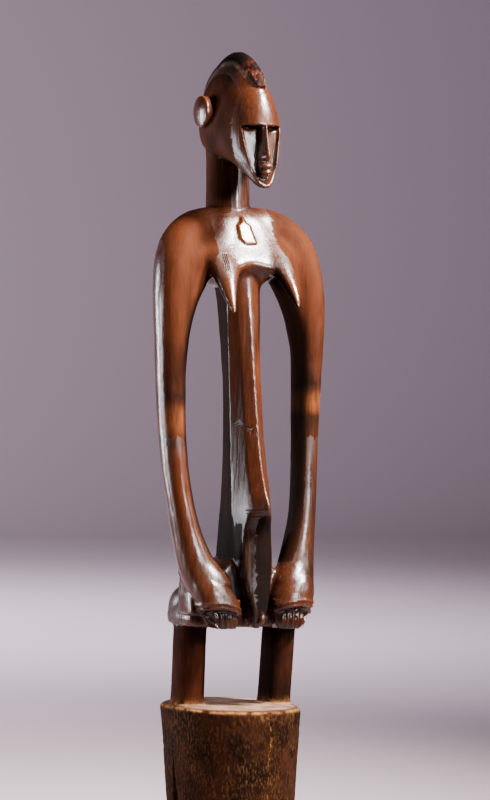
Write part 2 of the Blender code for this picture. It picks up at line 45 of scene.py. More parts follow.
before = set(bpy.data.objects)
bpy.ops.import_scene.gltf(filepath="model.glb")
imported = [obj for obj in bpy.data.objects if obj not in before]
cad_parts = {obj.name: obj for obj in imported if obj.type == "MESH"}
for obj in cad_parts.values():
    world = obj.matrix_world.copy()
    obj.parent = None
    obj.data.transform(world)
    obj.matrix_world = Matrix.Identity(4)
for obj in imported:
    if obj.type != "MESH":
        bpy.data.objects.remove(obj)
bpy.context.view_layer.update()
NODE = "carved_figure"

# The carving's own drawing, as in the solid
BASE_HEIGHT = 200.0
BASE_TOP_RADIUS = 95.0
BASE_FOOT_RADIUS = 84.0
BASE_RIM_ROUND = 6.0
LEVEL_SLOPE = (
    (-200.0, 0.0), (0.0, -0.035), (180.0, -0.035), (330.0, 0.0),
    (450.0, 0.0), (560.0, 0.022), (680.0, 0.022), (740.0, 0.0),
)
MM = 0.001
RING_POINTS = 64
HIP_UNDERSIDE = 108.0
LEG_FOOT_X = 66.0
LEG_HIP_X = 67.5
LEG_HIP_Y = -12.9
CHEST_SHARES = (0.0, 0.2, 0.4, 0.6, 0.75, 0.9)
BROW_Z = 780.0
CHIN_Z = 701.0
HEAD_CENTRE = np.array((0.0, -24.0, 790.0))
HEAD_NOD = 0.083
CREST_FRONT_Z = 829.0
CREST_NAPE_Z = 792.0
SPOOL_CENTRE = (-8.0, 796.5)

# Zones of finish and of painted shade, painted on the skin's points; the dry ones take the dull wood
ZONES = (
    "crest", "broken", "pounder", "ridge", "worn_edge", "hollow", "crest_rim", "painted_shade",
    "stain_and_shade", "rubbed", "bared", "split", "dull", "pounder_top", "lines",
)
DRY_ZONES = ("painted_shade", "crest", "pounder", "pounder_top", "dull")

# Cell sizes of the joined skin in millimetres, and how many triangles are kept
ROUGH_CELL = 2.2
FINE_CELL = 1.35
TRIANGLES = 190000


def linear(code):
    """An sRGB hex colour as linear numbers."""
    values = []
    for start in (1, 3, 5):
        share = int(code[start:start + 2], 16) / 255.0
        values.append(share / 12.92 if share <= 0.04045 else ((share + 0.055) / 1.055) ** 2.4)
    return tuple(values)


def read_row(rows, key):
    """The values beside a key in short rows with rising keys, read straight between; works on arrays."""
    keys = [row[0] for row in rows]
    return [np.interp(key, keys, [row[column] for row in rows]) for column in range(1, len(rows[0]))]


def smooth_rows(rows, steps):
    """Rows of numbers read along a smooth curve that passes through each of them."""
    result = []
    last = len(rows) - 1
    for index in range(last):
        before = rows[max(index - 1, 0)]
        after = rows[min(index + 2, last)]
        for step in range(steps):
            t = step / steps
            row = []
            for a, b, c, d in zip(before, rows[index], rows[index + 1], after):
                bend = 2.0 * b + (c - a) * t
                bend += (2.0 * a - 5.0 * b + 4.0 * c - d) * t * t
                bend += (3.0 * b - a - 3.0 * c + d) * t ** 3
                row.append(0.5 * bend)
            result.append(row)
    result.append(list(rows[last]))
    return result


def step_up(value, start, end):
    """From 0 at start to 1 at end, eased at both ends; start may be the higher number."""
    share = np.clip((value - start) / (end - start), 0.0, 1.0)
    return share * share * (3.0 - 2.0 * share)


def lattice(cells, seed):
    """A repeatable number from 0 to 1 for each whole-number cell."""
    mixed = cells[:, 0] * 374761393 + cells[:, 1] * 668265263 + cells[:, 2] * 982451653 + seed * 1274126177
    mixed = (mixed ^ (mixed >> 13)) * 1274126177
    return ((mixed ^ (mixed >> 16)) & 0xFFFFFF) / float(0xFFFFFF)


def soft_noise(points, cell, seed):
    """Smooth noise from -1 to 1 whose forms are one cell wide, cell given along x, y and z."""
    scaled = points / np.array(cell)
    low = np.floor(scaled).astype(np.int64)
    share = scaled - low
    share = share * share * (3.0 - 2.0 * share)
    total = np.zeros(len(points))
    for corner in itertools.product((0, 1), repeat=3):
        weight = np.ones(len(points))
        for axis in range(3):
            weight *= share[:, axis] if corner[axis] else 1.0 - share[:, axis]
        total += weight * lattice(low + np.array(corner), seed)
    return total * 2.0 - 1.0


def oval(half_x, half_y, power, count=RING_POINTS):
    """Points round an oval; a power over 2 squares it and one under 2 points it."""
    points = []
    for index in range(count):
        angle = math.tau * index / count
        c = math.cos(angle)
        s = math.sin(angle)
        x = half_x * math.copysign(abs(c) ** (2.0 / power), c)
        y = half_y * math.copysign(abs(s) ** (2.0 / power), s)
        points.append((x, y))
    return points


def add_loft(body, rings, twin=False):
    """A closed skin over rings of equal count, and its mirror image where it has a twin."""
    for side in (1.0, -1.0) if twin else (1.0,):
        levels = [[body.verts.new((p[0] * side, p[1], p[2])) for p in ring] for ring in rings]
        count = len(levels[0])
        faces = []
        for low, high in zip(levels, levels[1:]):
            for index in range(count):
                after = (index + 1) % count
                faces.append(body.faces.new((low[index], low[after], high[after], high[index])))
        faces.append(body.faces.new(levels[0][::-1]))
        faces.append(body.faces.new(levels[-1]))
        bmesh.ops.recalc_face_normals(body, faces=faces)


def level_rings(rows, steps):
    """Level ovals. A row is height, centre x, centre y, half width, half depth and power."""
    rings = []
    for z, x, y, half_x, half_y, power in smooth_rows(rows, steps):
        rings.append([(x + px, y + py, z) for px, py in oval(half_x, half_y, power)])
    return rings


def swept_rings(rows, steps):
    """Ovals square to a path. A row is x, y, z, half width, half depth and power."""
    path = smooth_rows(rows, steps)
    rings = []
    for index, (x, y, z, half_width, half_depth, power) in enumerate(path):
        before = Vector(path[max(index - 1, 0)][:3])
        after = Vector(path[min(index + 1, len(path) - 1)][:3])
        along = (after - before).normalized()
        depth = Vector((0.0, 1.0, 0.0))
        depth = (depth - along * depth.dot(along)).normalized()
        across = along.cross(depth)
        centre = Vector((x, y, z))
        rings.append([centre + across * px + depth * py for px, py in oval(half_width, half_depth, power)])
    return rings


def base_pounder(body):
    """The pounder: a short log, widest at its top rim."""
    profile = [(BASE_FOOT_RADIUS, -BASE_HEIGHT - 12.0), (BASE_FOOT_RADIUS, -BASE_HEIGHT)]
    for share in (0.2, 0.35, 0.5, 0.7, 0.9):
        radius = BASE_FOOT_RADIUS + (BASE_TOP_RADIUS - BASE_FOOT_RADIUS) * share ** 1.3
        profile.append((radius, BASE_HEIGHT * (share - 1.0)))
    for step in range(5):
        angle = math.pi / 8.0 * step
        inset = BASE_RIM_ROUND * (1.0 - math.cos(angle))
        profile.append((BASE_TOP_RADIUS - inset, BASE_RIM_ROUND * (math.sin(angle) - 1.0)))
    rings = []
    for radius, z in profile:
        rings.append([(x, y, z) for x, y in oval(radius, radius, 2.0, count=144)])
    add_loft(body, rings)


def legs(body):
    """Two straight legs that lean a little forward and flare a little where they meet the pounder."""
    rows = []
    spreads = (
        (-0.08, 1.0), (0.0, 1.0), (0.05, 0.2), (0.3, 0.0), (0.7, 0.0), (1.0, 0.0), (1.04, -0.4),
    )
    for share, spread in spreads:
        x = LEG_FOOT_X + (LEG_HIP_X - LEG_FOOT_X) * share
        y = LEG_HIP_Y * share
        rows.append((HIP_UNDERSIDE * share, x, y, 21.0 + 2.0 * spread, 22.5 + 2.0 * spread, 2.4))
    add_loft(body, level_rings(rows, 6), twin=True)


def hip_block_ring(z, half_x, front, back):
    """A level section of the hip block: square corners in front, rounder ones behind."""
    middle = -10.0
    ring = []
    for px, py in oval(half_x, 1.0, 7.0, count=96):
        reach = middle - front if py < 0.0 else back - middle
        x, y = px, middle + py * reach
        if y > middle:
            x *= 1.0 - 0.25 * ((y - middle) / (back - middle)) ** 3
        ring.append((x, y, z))
    return ring


def hips(body):
    """The block that carries trunk and hands: flat below, with rounded thighs and buttocks.

    A row is height, half width, front y and back y; a lobe's row is height and radius.
    """
    rows = (
        (HIP_UNDERSIDE, 86.5, -58.0, 42.0),
        (111.0, 88.5, -60.0, 44.0),
        (120.0, 89.5, -60.5, 45.0),
        (128.0, 87.0, -59.5, 44.0),
        (136.0, 83.0, -58.5, 43.0),
        (150.0, 78.0, -58.0, 38.0),
        (166.0, 66.0, -57.0, 26.0),
        (182.0, 48.0, -56.0, 14.0),
        (198.0, 30.0, -56.0, 4.0),
    )
    add_loft(body, [hip_block_ring(*row) for row in smooth_rows(rows, 5)])
    lobe = [
        (z, 45.0, 8.0, radius, radius + 2.0, 2.0)
        for z, radius in (
            (HIP_UNDERSIDE, 37.0), (116.0, 39.5), (128.0, 40.0), (142.0, 37.0),
            (153.0, 30.0), (161.0, 20.0), (165.0, 8.0),
        )
    ]
    add_loft(body, level_rings(lobe, 4), twin=True)


def chest_ring(row):
    """A level section of the chest: front depths at shares of the half width, then a round back."""
    z, half = row[0], row[1]
    back = row[-1]
    stations = list(zip(CHEST_SHARES, row[2:-1]))
    side_y = row[-2] * 0.45
    front = []
    for step in range(21):
        share = 0.96 * step / 20
        if share <= CHEST_SHARES[-1]:
            low = max(index for index in range(len(stations)) if stations[index][0] <= share + 1e-9)
            low = min(low, len(stations) - 2)
            t = (share - stations[low][0]) / (stations[low + 1][0] - stations[low][0])
            before = stations[low - 1][1] if low > 0 else stations[1][1]
            after = stations[min(low + 2, len(stations) - 1)][1]
            b, c = stations[low][1], stations[low + 1][1]
            y = 0.5 * (2.0 * b + (c - before) * t + (2.0 * before - 5.0 * b + 4.0 * c - after) * t * t
                       + (3.0 * b - before - 3.0 * c + after) * t ** 3)
        else:
            t = (share - CHEST_SHARES[-1]) / (1.0 - CHEST_SHARES[-1])
            y = stations[-1][1] + (side_y - stations[-1][1]) * t * t
        front.append((half * share, y))
    rear = []
    for step in range(12):
        angle = math.pi / 2.0 * step / 11
        rear.append((half * math.cos(angle) ** 0.8, side_y + (back - side_y) * math.sin(angle)))
    right = front + rear
    left = [(-x, y) for x, y in reversed(right[1:-1])]
    return [(x, y, z) for x, y in right + left]


def hip_panels(body):
    """The raised flat plate on each hip, between forearm and buttock."""
    panel = []
    for z, x, front, back, thick in (
        (126.0, 83.5, -64.0, -21.0, 8.0),
        (150.0, 83.0, -60.0, -19.0, 8.0),
        (178.0, 78.5, -52.0, -14.0, 7.0),
        (198.0, 73.0, -46.0, -16.0, 4.0),
    ):
        middle = (front + back) / 2.0
        panel.append([(x + px, middle + py, z) for px, py in oval(thick, (back - front) / 2.0, 5.0)])
    add_loft(body, panel, twin=True)


def straight_ring(corners, z, per_edge):
    """A level ring with straight edges between its corners."""
    ring = []
    for start, end in zip(corners, corners[1:] + corners[:1]):
        for step in range(per_edge):
            share = step / per_edge
            x = start[0] + (end[0] - start[0]) * share
            y = start[1] + (end[1] - start[1]) * share
            ring.append((x, y, z))
    return ring


def trunk_ring(row):
    """A faceted section: keel in front, a soft edge beside it, a sharp side edge and a flat back."""
    z, keel, edge_x, edge_y, side_x, side_y, back_x, back_y = row
    half = [(0.0, keel), (edge_x, edge_y), (side_x, side_y), (back_x, back_y), (0.0, back_y + 2.0)]
    return straight_ring(half + [(-x, y) for x, y in half[-2:0:-1]], z, 6)


def trunk(body):
    """The long trunk, bulging forward to the pointed navel and closing to a wedge between the hands.

    A row is height, keel y, front edge x and y, side edge x and y, back edge x and y.
    """
    rows = [
        (612.0, -54.0, 15.0, -50.0, 28.0, -27.0, 25.0, 12.0),
        (570.0, -58.0, 15.0, -52.0, 27.0, -35.0, 24.0, 6.0),
        (524.0, -61.0, 15.0, -53.0, 25.5, -38.0, 19.0, 3.0),
        (474.0, -66.0, 14.0, -57.0, 24.5, -39.0, 16.0, -1.0),
        (424.0, -72.0, 14.0, -62.0, 24.0, -40.0, 14.5, -4.0),
        (374.0, -79.0, 14.0, -68.0, 24.0, -42.0, 14.5, -4.0),
        (324.0, -89.0, 14.5, -75.0, 24.5, -45.0, 15.0, -3.0),
        (292.0, -100.0, 15.0, -83.0, 25.0, -48.0, 16.0, -2.0),
        (268.0, -112.0, 15.0, -88.0, 25.0, -47.0, 17.0, 0.0),
        (258.0, -104.0, 17.0, -85.0, 25.0, -48.0, 17.5, 1.0),
        (236.0, -87.0, 20.0, -79.0, 25.0, -51.0, 18.5, 3.0),
        (205.0, -84.0, 21.0, -80.0, 24.5, -58.0, 20.0, 5.0),
        (178.0, -84.0, 19.5, -81.0, 22.0, -68.0, 20.0, 6.0),
        (150.0, -87.0, 14.0, -85.0, 16.0, -78.0, 18.0, 0.0),
        (125.0, -88.0, 7.0, -87.0, 8.5, -83.0, 12.0, -20.0),
        (108.0, -78.0, 4.0, -77.0, 5.0, -74.0, 8.0, -30.0),
    ]
    add_loft(body, [trunk_ring(row) for row in smooth_rows(rows, 5)])


def shoulders_and_arms(body):
    """One arch: over the shoulder, down the long arm and forward to the hand on the thigh.

    A row is x, y, z, half width across the arm, half depth and power.
    """
    rows = [
        (8.0, -2.0, 646.0, 24.0, 27.0, 2.0),
        (38.0, -3.0, 645.0, 25.0, 29.0, 2.0),
        (62.0, -6.0, 638.0, 25.5, 31.0, 2.0),
        (81.0, -12.0, 622.0, 26.0, 32.0, 2.0),
        (93.0, -18.0, 598.0, 26.5, 32.0, 2.0),
        (98.5, -24.0, 565.0, 26.5, 31.0, 2.0),
        (101.0, -27.0, 530.0, 25.5, 29.0, 2.0),
        (102.5, -27.0, 490.0, 22.6, 26.0, 2.0),
        (103.0, -25.0, 445.0, 20.0, 24.0, 2.0),
        (101.5, -24.0, 390.0, 18.5, 23.0, 2.0),
        (99.5, -26.0, 345.0, 17.5, 22.0, 2.0),
        (96.5, -29.0, 305.0, 17.2, 21.5, 2.0),
        (91.0, -35.0, 260.0, 17.8, 21.5, 2.0),
        (83.5, -39.5, 222.0, 20.5, 23.0, 2.0),
        (74.0, -46.5, 187.0, 25.0, 25.0, 2.1),
        (63.5, -58.5, 163.0, 28.0, 25.5, 2.2),
        (58.0, -65.5, 151.0, 26.5, 22.5, 2.3),
    ]
    add_loft(body, swept_rings(rows, 5), twin=True)
    web = [
        (648.0, 56.0, -4.0, 18.0, 18.0, 2.0),
        (624.0, 62.0, -14.0, 26.0, 24.0, 2.0),
        (600.0, 66.0, -22.0, 28.0, 28.0, 2.0),
        (571.0, 70.0, -23.0, 22.0, 26.0, 2.0),
        (544.0, 82.0, -24.0, 19.0, 25.0, 2.0),
        (517.0, 89.0, -25.0, 15.5, 24.0, 2.0),
        (490.0, 94.0, -25.0, 14.0, 23.0, 2.0),
        (458.0, 98.0, -25.0, 12.0, 19.0, 2.0),
    ]
    add_loft(body, level_rings(web, 4), twin=True)


HAND_EDGE = (
    (212.0, 91.0, -38.0),
    (200.0, 93.5, -33.0),
    (186.0, 93.0, -29.0),
    (174.0, 91.5, -30.0),
    (163.0, 88.0, -42.0),
    (152.0, 85.0, -46.0),
    (143.0, 83.0, -55.0),
    (133.5, 82.0, -66.5),
    (119.0, 72.0, -78.0),
    (108.6, 62.0, -85.5),
)


def forearm_edges(body):
    """The flat outer back of each forearm, which meets its front in a sharp edge."""
    rings = []
    wrist = (
        (133.0, 54.0, -70.0, 28.0), (163.0, 63.0, -58.5, 27.0),
        (187.0, 74.0, -46.5, 23.0), (222.0, 83.5, -39.5, 18.0),
    )
    for z, edge_x, edge_y in HAND_EDGE[:8]:
        middle_x, middle_y, half = read_row(wrist, z)
        corners = [
            (edge_x, edge_y),
            (middle_x + 0.45 * half, middle_y + 0.80 * half),
            (middle_x - 0.3 * half, middle_y),
            (middle_x + 0.70 * half, middle_y - 0.62 * half),
        ]
        rings.append(straight_ring(corners, z, 8))
    add_loft(body, rings, twin=True)


def palms(body):
    """The flat paddle of each hand under the wrist, cut off slantwise on its outer side."""
    rings = []
    for z, inner_x, outer_x, outer_y, front in (
        (146.0, 26.0, 80.0, -62.0, -82.0),
        (138.0, 26.0, 80.0, -66.0, -80.0),
        (133.0, 26.5, 79.0, -68.0, -79.0),
        (124.0, 27.5, 73.0, -75.0, -79.5),
        (115.0, 29.0, 67.0, -80.0, -80.5),
        (HIP_UNDERSIDE, 32.0, 61.5, -82.0, -81.0),
    ):
        outline = [
            (inner_x, -52.0), (inner_x - 0.5, front + 5.0), (inner_x + 3.0, front),
            (outer_x - 5.0, min(front, outer_y - 1.0)), (outer_x, outer_y + 2.0), (outer_x, -50.0),
        ]
        rings.append(straight_ring(outline, z, 6))
    add_loft(body, rings, twin=True)


def hand_edges(body):
    """The thin raised line that runs from the back of each forearm slantwise to the finger ends."""
    rows = [(x, y, z, 1.3, 1.3, 2.0) for z, x, y in HAND_EDGE[2:]]
    add_loft(body, swept_rings(rows, 4), twin=True)


def cuff_lip(side, share):
    """Height of the wrist's lower lip across the hand, from its inner to its outer side."""
    if side < 0.0:
        rows = ((0.0, 125.0), (0.6, 133.5), (1.0, 131.0))
    else:
        rows = ((0.0, 131.5), (0.6, 137.5), (1.0, 134.5))
    return float(read_row(rows, share)[0]) + 1.6 * math.sin(math.pi * share)


def cuffs(body):
    """The back of each hand, which overhangs the fingers, and its two raised bands."""
    for side in (-1.0, 1.0):
        rings = []
        for rise, x, y, half_x, half_y in (
            (62.0, 77.0, -45.5, 11.0, 12.0),
            (48.0, 70.0, -51.5, 21.0, 21.0),
            (40.0, 66.0, -55.5, 25.8, 24.5),
            (32.0, 62.5, -58.8, 28.8, 26.6),
            (20.0, 58.5, -63.8, 30.6, 26.8),
            (10.0, 55.4, -68.0, 30.3, 24.7),
            (1.0, 54.0, -70.0, 29.2, 22.0),
            (0.0, 54.0, -70.0, 28.4, 21.2),
        ):
            ring = []
            for px, py in oval(half_x, half_y, 2.3):
                share = (px / half_x + 1.0) / 2.0
                ring.append(((x + px) * side, y + py, cuff_lip(side, share) + rise))
            rings.append(ring)
        add_loft(body, rings)
        bands = ((2.0, 54.1, -69.8, 29.6, 22.6), (7.6, 55.0, -68.6, 30.5, 24.4))
        for rise, middle_x, middle_y, half_x, half_y in bands:
            rows = []
            for step in range(13):
                angle = math.radians(-118.0 + 226.0 * step / 12.0)
                across = math.sin(angle)
                ahead = math.cos(angle)
                x = middle_x + half_x * math.copysign(abs(across) ** 0.87, across)
                y = middle_y - half_y * math.copysign(abs(ahead) ** 0.87, ahead)
                rows.append((x * side, y, cuff_lip(side, (across + 1.0) / 2.0) + rise, 1.5, 1.5, 2.0))
            add_loft(body, swept_rings(rows, 3))


def fingers(body):
    """Five fingers side by side on each palm, pointing down from under the wrist bands."""
    for index in range(5):
        offset = index - 2.0
        x = 50.5 + offset * 7.2
        top_z = 132.5 - 0.9 * offset * offset
        front = -82.0 + 0.5 * offset * offset
        rows = [
            (x + 1.6, front + 5.0, top_z + 3.0, 1.2, 1.2, 2.0),
            (x + 1.0, front + 1.0, top_z - 1.0, 2.7, 2.7, 2.0),
            (x, front - 0.6, 123.0, 2.8, 3.2, 2.0),
            (x - 1.8 - 0.4 * offset, front - 0.4, 114.0, 2.6, 2.8, 2.0),
            (x - 2.6 - 0.6 * offset, front + 1.5, 109.6, 1.8, 1.8, 2.0),
        ]
        add_loft(body, swept_rings(rows, 4), twin=True)


def yoke(body):
    """The chest between the shoulders: a sheet that slopes forward to its arched lower edge.

    A row is height, half width, the front's y at each share of the half width, and the back's y.
    """
    rows = [
        (669.0, 38.0, -18.0, -18.0, -17.0, -14.0, -10.0, -6.0, 26.0),
        (656.0, 60.0, -30.0, -30.0, -29.5, -27.0, -23.0, -17.0, 33.0),
        (640.0, 76.0, -38.5, -38.5, -38.0, -35.0, -31.0, -26.0, 36.0),
        (624.0, 82.0, -47.5, -47.5, -46.5, -43.5, -38.0, -31.0, 33.0),
        (610.0, 82.0, -55.5, -55.5, -55.0, -51.5, -44.0, -34.0, 28.0),
        (600.0, 80.0, -61.0, -61.5, -61.0, -57.0, -48.0, -35.0, 24.0),
        (593.0, 78.0, -64.5, -65.5, -65.0, -61.0, -50.0, -34.0, 20.0),
        (588.0, 74.0, -65.5, -68.0, -68.0, -63.5, -50.0, -32.0, 17.0),
        (584.0, 68.0, -61.0, -66.5, -70.0, -64.0, -48.0, -30.0, 14.0),
        (577.0, 56.0, -51.0, -56.0, -62.0, -58.0, -44.0, -26.0, 10.0),
        (564.0, 40.0, -46.0, -46.0, -46.0, -44.0, -38.0, -22.0, 6.0),
    ]
    add_loft(body, [chest_ring(row) for row in smooth_rows(rows, 4)])


def breasts(body):
    """Long pointed breasts that carry on the slope of the chest, the left one a little higher.

    A row is height, centre x, centre y, half width, half depth and power.
    """
    right = [
        (624.0, 41.0, -28.0, 18.0, 13.0, 2.0),
        (612.0, 40.0, -37.0, 23.0, 16.5, 2.0),
        (602.0, 39.0, -43.5, 24.5, 18.5, 2.0),
        (592.0, 38.5, -50.5, 23.5, 19.0, 2.1),
        (582.0, 39.0, -58.5, 21.5, 17.5, 2.1),
        (572.0, 41.0, -66.5, 18.0, 16.0, 2.0),
        (562.0, 43.0, -74.0, 14.5, 14.5, 2.0),
        (552.0, 45.0, -81.5, 11.5, 12.5, 1.9),
        (542.0, 46.5, -89.0, 8.8, 10.0, 1.9),
        (533.0, 47.5, -96.0, 6.4, 7.2, 1.9),
        (526.0, 48.0, -101.0, 4.6, 5.0, 2.0),
        (522.5, 48.0, -103.0, 2.8, 3.0, 2.0),
    ]
    left = [
        (628.0, 45.0, -28.0, 18.0, 13.0, 2.0),
        (616.0, 45.0, -36.5, 22.0, 16.5, 2.0),
        (606.0, 44.5, -43.0, 23.5, 18.2, 2.0),
        (597.0, 44.0, -50.0, 22.0, 18.5, 2.1),
        (588.0, 45.0, -57.5, 19.5, 17.5, 2.1),
        (578.0, 46.0, -66.0, 16.5, 16.0, 2.0),
        (568.0, 47.0, -74.0, 13.5, 14.5, 2.0),
        (559.0, 47.8, -81.5, 11.0, 12.5, 1.9),
        (549.0, 48.2, -89.0, 8.5, 10.0, 1.9),
        (540.0, 48.3, -96.0, 6.2, 7.2, 1.9),
        (533.0, 48.2, -101.0, 4.4, 5.0, 2.0),
        (530.0, 48.2, -103.0, 2.8, 3.0, 2.0),
    ]
    for side, rows in ((-1.0, right), (1.0, left)):
        placed = [(z, x * side, y, half_x, half_y, power) for z, x, y, half_x, half_y, power in rows]
        add_loft(body, level_rings(placed, 4))


def plaque(body):
    """The small raised plate on the breastbone, pointed above, square below, one corner chipped."""
    outline = [
        (0.0, 24.0), (3.0, 13.0), (8.6, 9.0), (11.4, -20.0),
        (-4.5, -20.0), (-10.0, -11.0), (-9.6, 9.0), (-3.0, 13.0),
    ]
    lean = math.radians(26.6)
    rings = []
    for depth in (-8.0, 4.6):
        ring = []
        for x, along in outline:
            y = -40.6 + along * math.sin(lean) - depth * math.cos(lean)
            z = 634.0 + along * math.cos(lean) + depth * math.sin(lean)
            ring.append((x, y, z))
        rings.append(ring)
    add_loft(body, rings)


def neck(body):
    """A stout neck with a sharp front edge, standing crisply on the shoulders."""
    rings = []
    for z, spread in ((640.0, 1.03), (664.0, 1.0), (700.0, 0.97), (735.0, 0.97), (760.0, 1.0)):
        ring = []
        for px, py in oval(30.5 * spread, 29.0 * spread, 2.0, count=96):
            if py < 0.0:
                py *= 0.94 + 0.12 * (1.0 - abs(px) / (30.5 * spread)) ** 2
            ring.append((px, 8.0 + py, z))
        rings.append(ring)
    add_loft(body, rings)


def nod(points):
    """Points of the upright head, dipped forward with the whole head."""
    result = np.array(points, float)
    result[..., 2] += HEAD_NOD * result[..., 1]
    return result


def head(body):
    """The long head: a jaw that slopes to the chin and a high skull.

    A row is height, centre x, centre y, half width, half depth and power.
    """
    rows = [
        (696.5, 0.0, -96.0, 5.0, 4.0, 2.0),
        (700.0, 0.0, -94.0, 9.5, 9.0, 2.0),
        (706.0, 0.0, -90.0, 14.0, 14.5, 2.0),
        (718.0, 0.0, -80.5, 20.5, 24.5, 2.0),
        (732.0, 0.0, -67.5, 28.5, 38.0, 2.1),
        (744.0, 0.0, -40.0, 37.0, 66.0, 2.1),
        (754.0, 0.0, -29.0, 41.0, 75.0, 2.15),
        (773.0, 0.0, -25.5, 43.0, 78.5, 2.2),
        (795.0, 0.0, -23.5, 40.5, 77.0, 2.2),
        (817.0, 0.0, -20.7, 35.5, 72.5, 2.1),
        (831.0, 0.0, -18.5, 30.5, 67.0, 2.0),
        (846.0, 0.0, -20.0, 24.5, 57.0, 2.0),
        (859.0, 0.0, -21.5, 16.5, 43.0, 2.0),
        (868.0, 0.0, -22.0, 10.0, 30.0, 2.0),
        (874.5, 0.0, -22.0, 3.0, 12.0, 2.0),
    ]
    rings = []
    for z, x, y, half_x, half_y, power in smooth_rows(rows, 8):
        rings.append(nod([(x + px, y + py, z) for px, py in oval(half_x, half_y, power, count=128)]))
    add_loft(body, rings)


def heart_half_width(z):
    """Half the width of the sunk face at a height, from the brow down to the chin."""
    rows = (
        (CHIN_Z, 0.5), (704.0, 8.0), (710.0, 12.5), (720.0, 17.0),
        (741.0, 22.0), (759.0, 25.5), (BROW_Z, 29.0),
    )
    return read_row(rows, z)[0]


def carve_face(points):
    """Sinks the face below the brow to two flat cheeks, deepest in the slits under the brow.

    The points stand upright, before the nod.
    """
    x, y, z = points.T
    fall = (BROW_Z - z) / (BROW_Z - CHIN_Z)
    side = np.abs(x)
    floor = -(85.0 + 7.0 * fall) + 0.13 * side
    bevel = 1.6 + 7.0 * step_up(fall, 0.70, 0.98)
    inside = np.clip((heart_half_width(z) - side + 0.4) / bevel, 0.0, 1.0) * step_up(BROW_Z - z, -0.4, 1.4)
    inside *= (z > CHIN_Z) & (y < -55.0)
    lens = 5.6 * np.sqrt(np.clip(1.0 - ((side - 16.0) / 12.5) ** 2, 0.0, 1.0))
    slit = step_up(z, BROW_Z - lens - 1.0, BROW_Z - lens + 1.0) * (lens > 0.5)
    floor = floor + 9.0 * slit
    points[:, 1] += (np.maximum(y, floor) - y) * inside
    return points


def face_features(body):
    """The long narrow nose and the small lips, standing free in the sunk face."""
    rings = []
    for z, half, ridge, root in (
        (792.0, 2.6, -90.0, -80.0),
        (780.0, 4.6, -103.0, -78.0),
        (762.0, 5.4, -106.5, -78.0),
        (748.0, 6.6, -110.0, -78.0),
        (741.0, 8.4, -111.5, -80.0),
        (737.0, 8.8, -110.0, -80.0),
        (734.5, 7.0, -106.0, -82.0),
    ):
        shape = [(0.0, ridge), (half * 0.4, ridge + 2.6), (half, -93.0), (half, root)]
        shape += [(-x, y) for x, y in shape[:0:-1]]
        rings.append(nod([(x, y, z) for x, y in shape]))
    add_loft(body, rings)
    for middle_z, reach, half_x, half_z in ((726.8, -103.5, 8.8, 4.1), (718.4, -102.0, 7.6, 3.9)):
        rings = []
        for step in range(9):
            angle = math.pi * (step + 0.5) / 9.0
            rings.append(nod([
                (px, reach + py, middle_z - half_z * math.cos(angle))
                for px, py in oval(half_x * math.sin(angle), 7.0 * math.sin(angle), 2.0, count=32)
            ]))
        add_loft(body, rings)
    widths = ((711.0, 5.0), (716.0, 7.2), (726.0, 8.6), (737.0, 7.6))
    block = [(z, 0.0, -92.0, half, 8.0, 3.0) for z, half in widths]
    add_loft(body, [nod(ring) for ring in level_rings(block, 4)])


def ear_spools(body):
    """A turned spool on each side of the head: stem, flange, groove and domed disc."""
    profile = (
        (24.0, 12.0),
        (40.5, 12.0),
        (41.5, 17.0),
        (42.2, 20.0),
        (43.6, 21.6),
        (45.2, 21.2),
        (46.0, 19.4),
        (46.6, 18.2),
        (47.4, 19.6),
        (48.2, 21.3),
        (49.0, 21.8),
        (50.0, 21.2),
        (51.2, 18.5),
        (52.4, 14.0),
        (53.3, 8.0),
        (53.7, 2.5),
    )
    rings = []
    middle_y, middle_z = SPOOL_CENTRE
    for x, radius in profile:
        rings.append([(x, middle_y + a, middle_z + b) for a, b in oval(radius, radius, 2.0, count=72)])
    add_loft(body, rings, twin=True)


def pubic_point(body):
    """The small raised point low between the hands."""
    rows = [
        (1.5, -86.0, 131.0, 1.4, 1.4, 2.0),
        (1.0, -89.0, 126.0, 3.2, 3.2, 2.0),
        (-0.5, -89.5, 119.0, 4.2, 4.0, 2.0),
        (-2.5, -85.0, 113.5, 3.6, 3.0, 2.0),
    ]
    add_loft(body, swept_rings(rows, 4))


class Skin:
    """A mesh held as arrays: its points, its faces and its edges."""

    def __init__(self, mesh):
        self.points = np.zeros(len(mesh.vertices) * 3)
        mesh.vertices.foreach_get("co", self.points)
        self.points = self.points.reshape(-1, 3)
        edges = np.zeros(len(mesh.edges) * 2, np.int64)
        mesh.edges.foreach_get("vertices", edges)
        self.edges = edges.reshape(-1, 2)
        self.count = np.bincount(self.edges.ravel(), minlength=len(self.points))

    def spread(self, values):
        """Each point's mean of its neighbours' values, one column or three."""
        a, b = self.edges.T
        columns = values.reshape(len(self.points), -1)
        means = np.zeros_like(columns)
        for column in range(columns.shape[1]):
            line = columns[:, column]
            total = np.bincount(a, line[b], len(line)) + np.bincount(b, line[a], len(line))
            means[:, column] = total / self.count
        return means.reshape(values.shape)

    def smooth(self, weight, steps):
        """Evens the surface out, each point by its own weight."""
        share = 0.5 * weight[:, None]
        for _ in range(steps):
            self.points += (self.spread(self.points) - self.points) * share


def voxel_skin(body, cell):
    """Joins the overlapping forms into one closed skin of even small faces."""
    mesh = bpy.data.meshes.new("rough_skin")
    body.to_mesh(mesh)
    body.free()
    thing = bpy.data.objects.new("rough_skin", mesh)
    bpy.context.scene.collection.objects.link(thing)
    remesh = thing.modifiers.new("one_skin", "REMESH")
    remesh.mode = "VOXEL"
    remesh.voxel_size = cell
    graph = bpy.context.evaluated_depsgraph_get()
    whole = bpy.data.meshes.new_from_object(thing.evaluated_get(graph))
    bpy.data.objects.remove(thing)
    bpy.data.meshes.remove(mesh)
    return whole


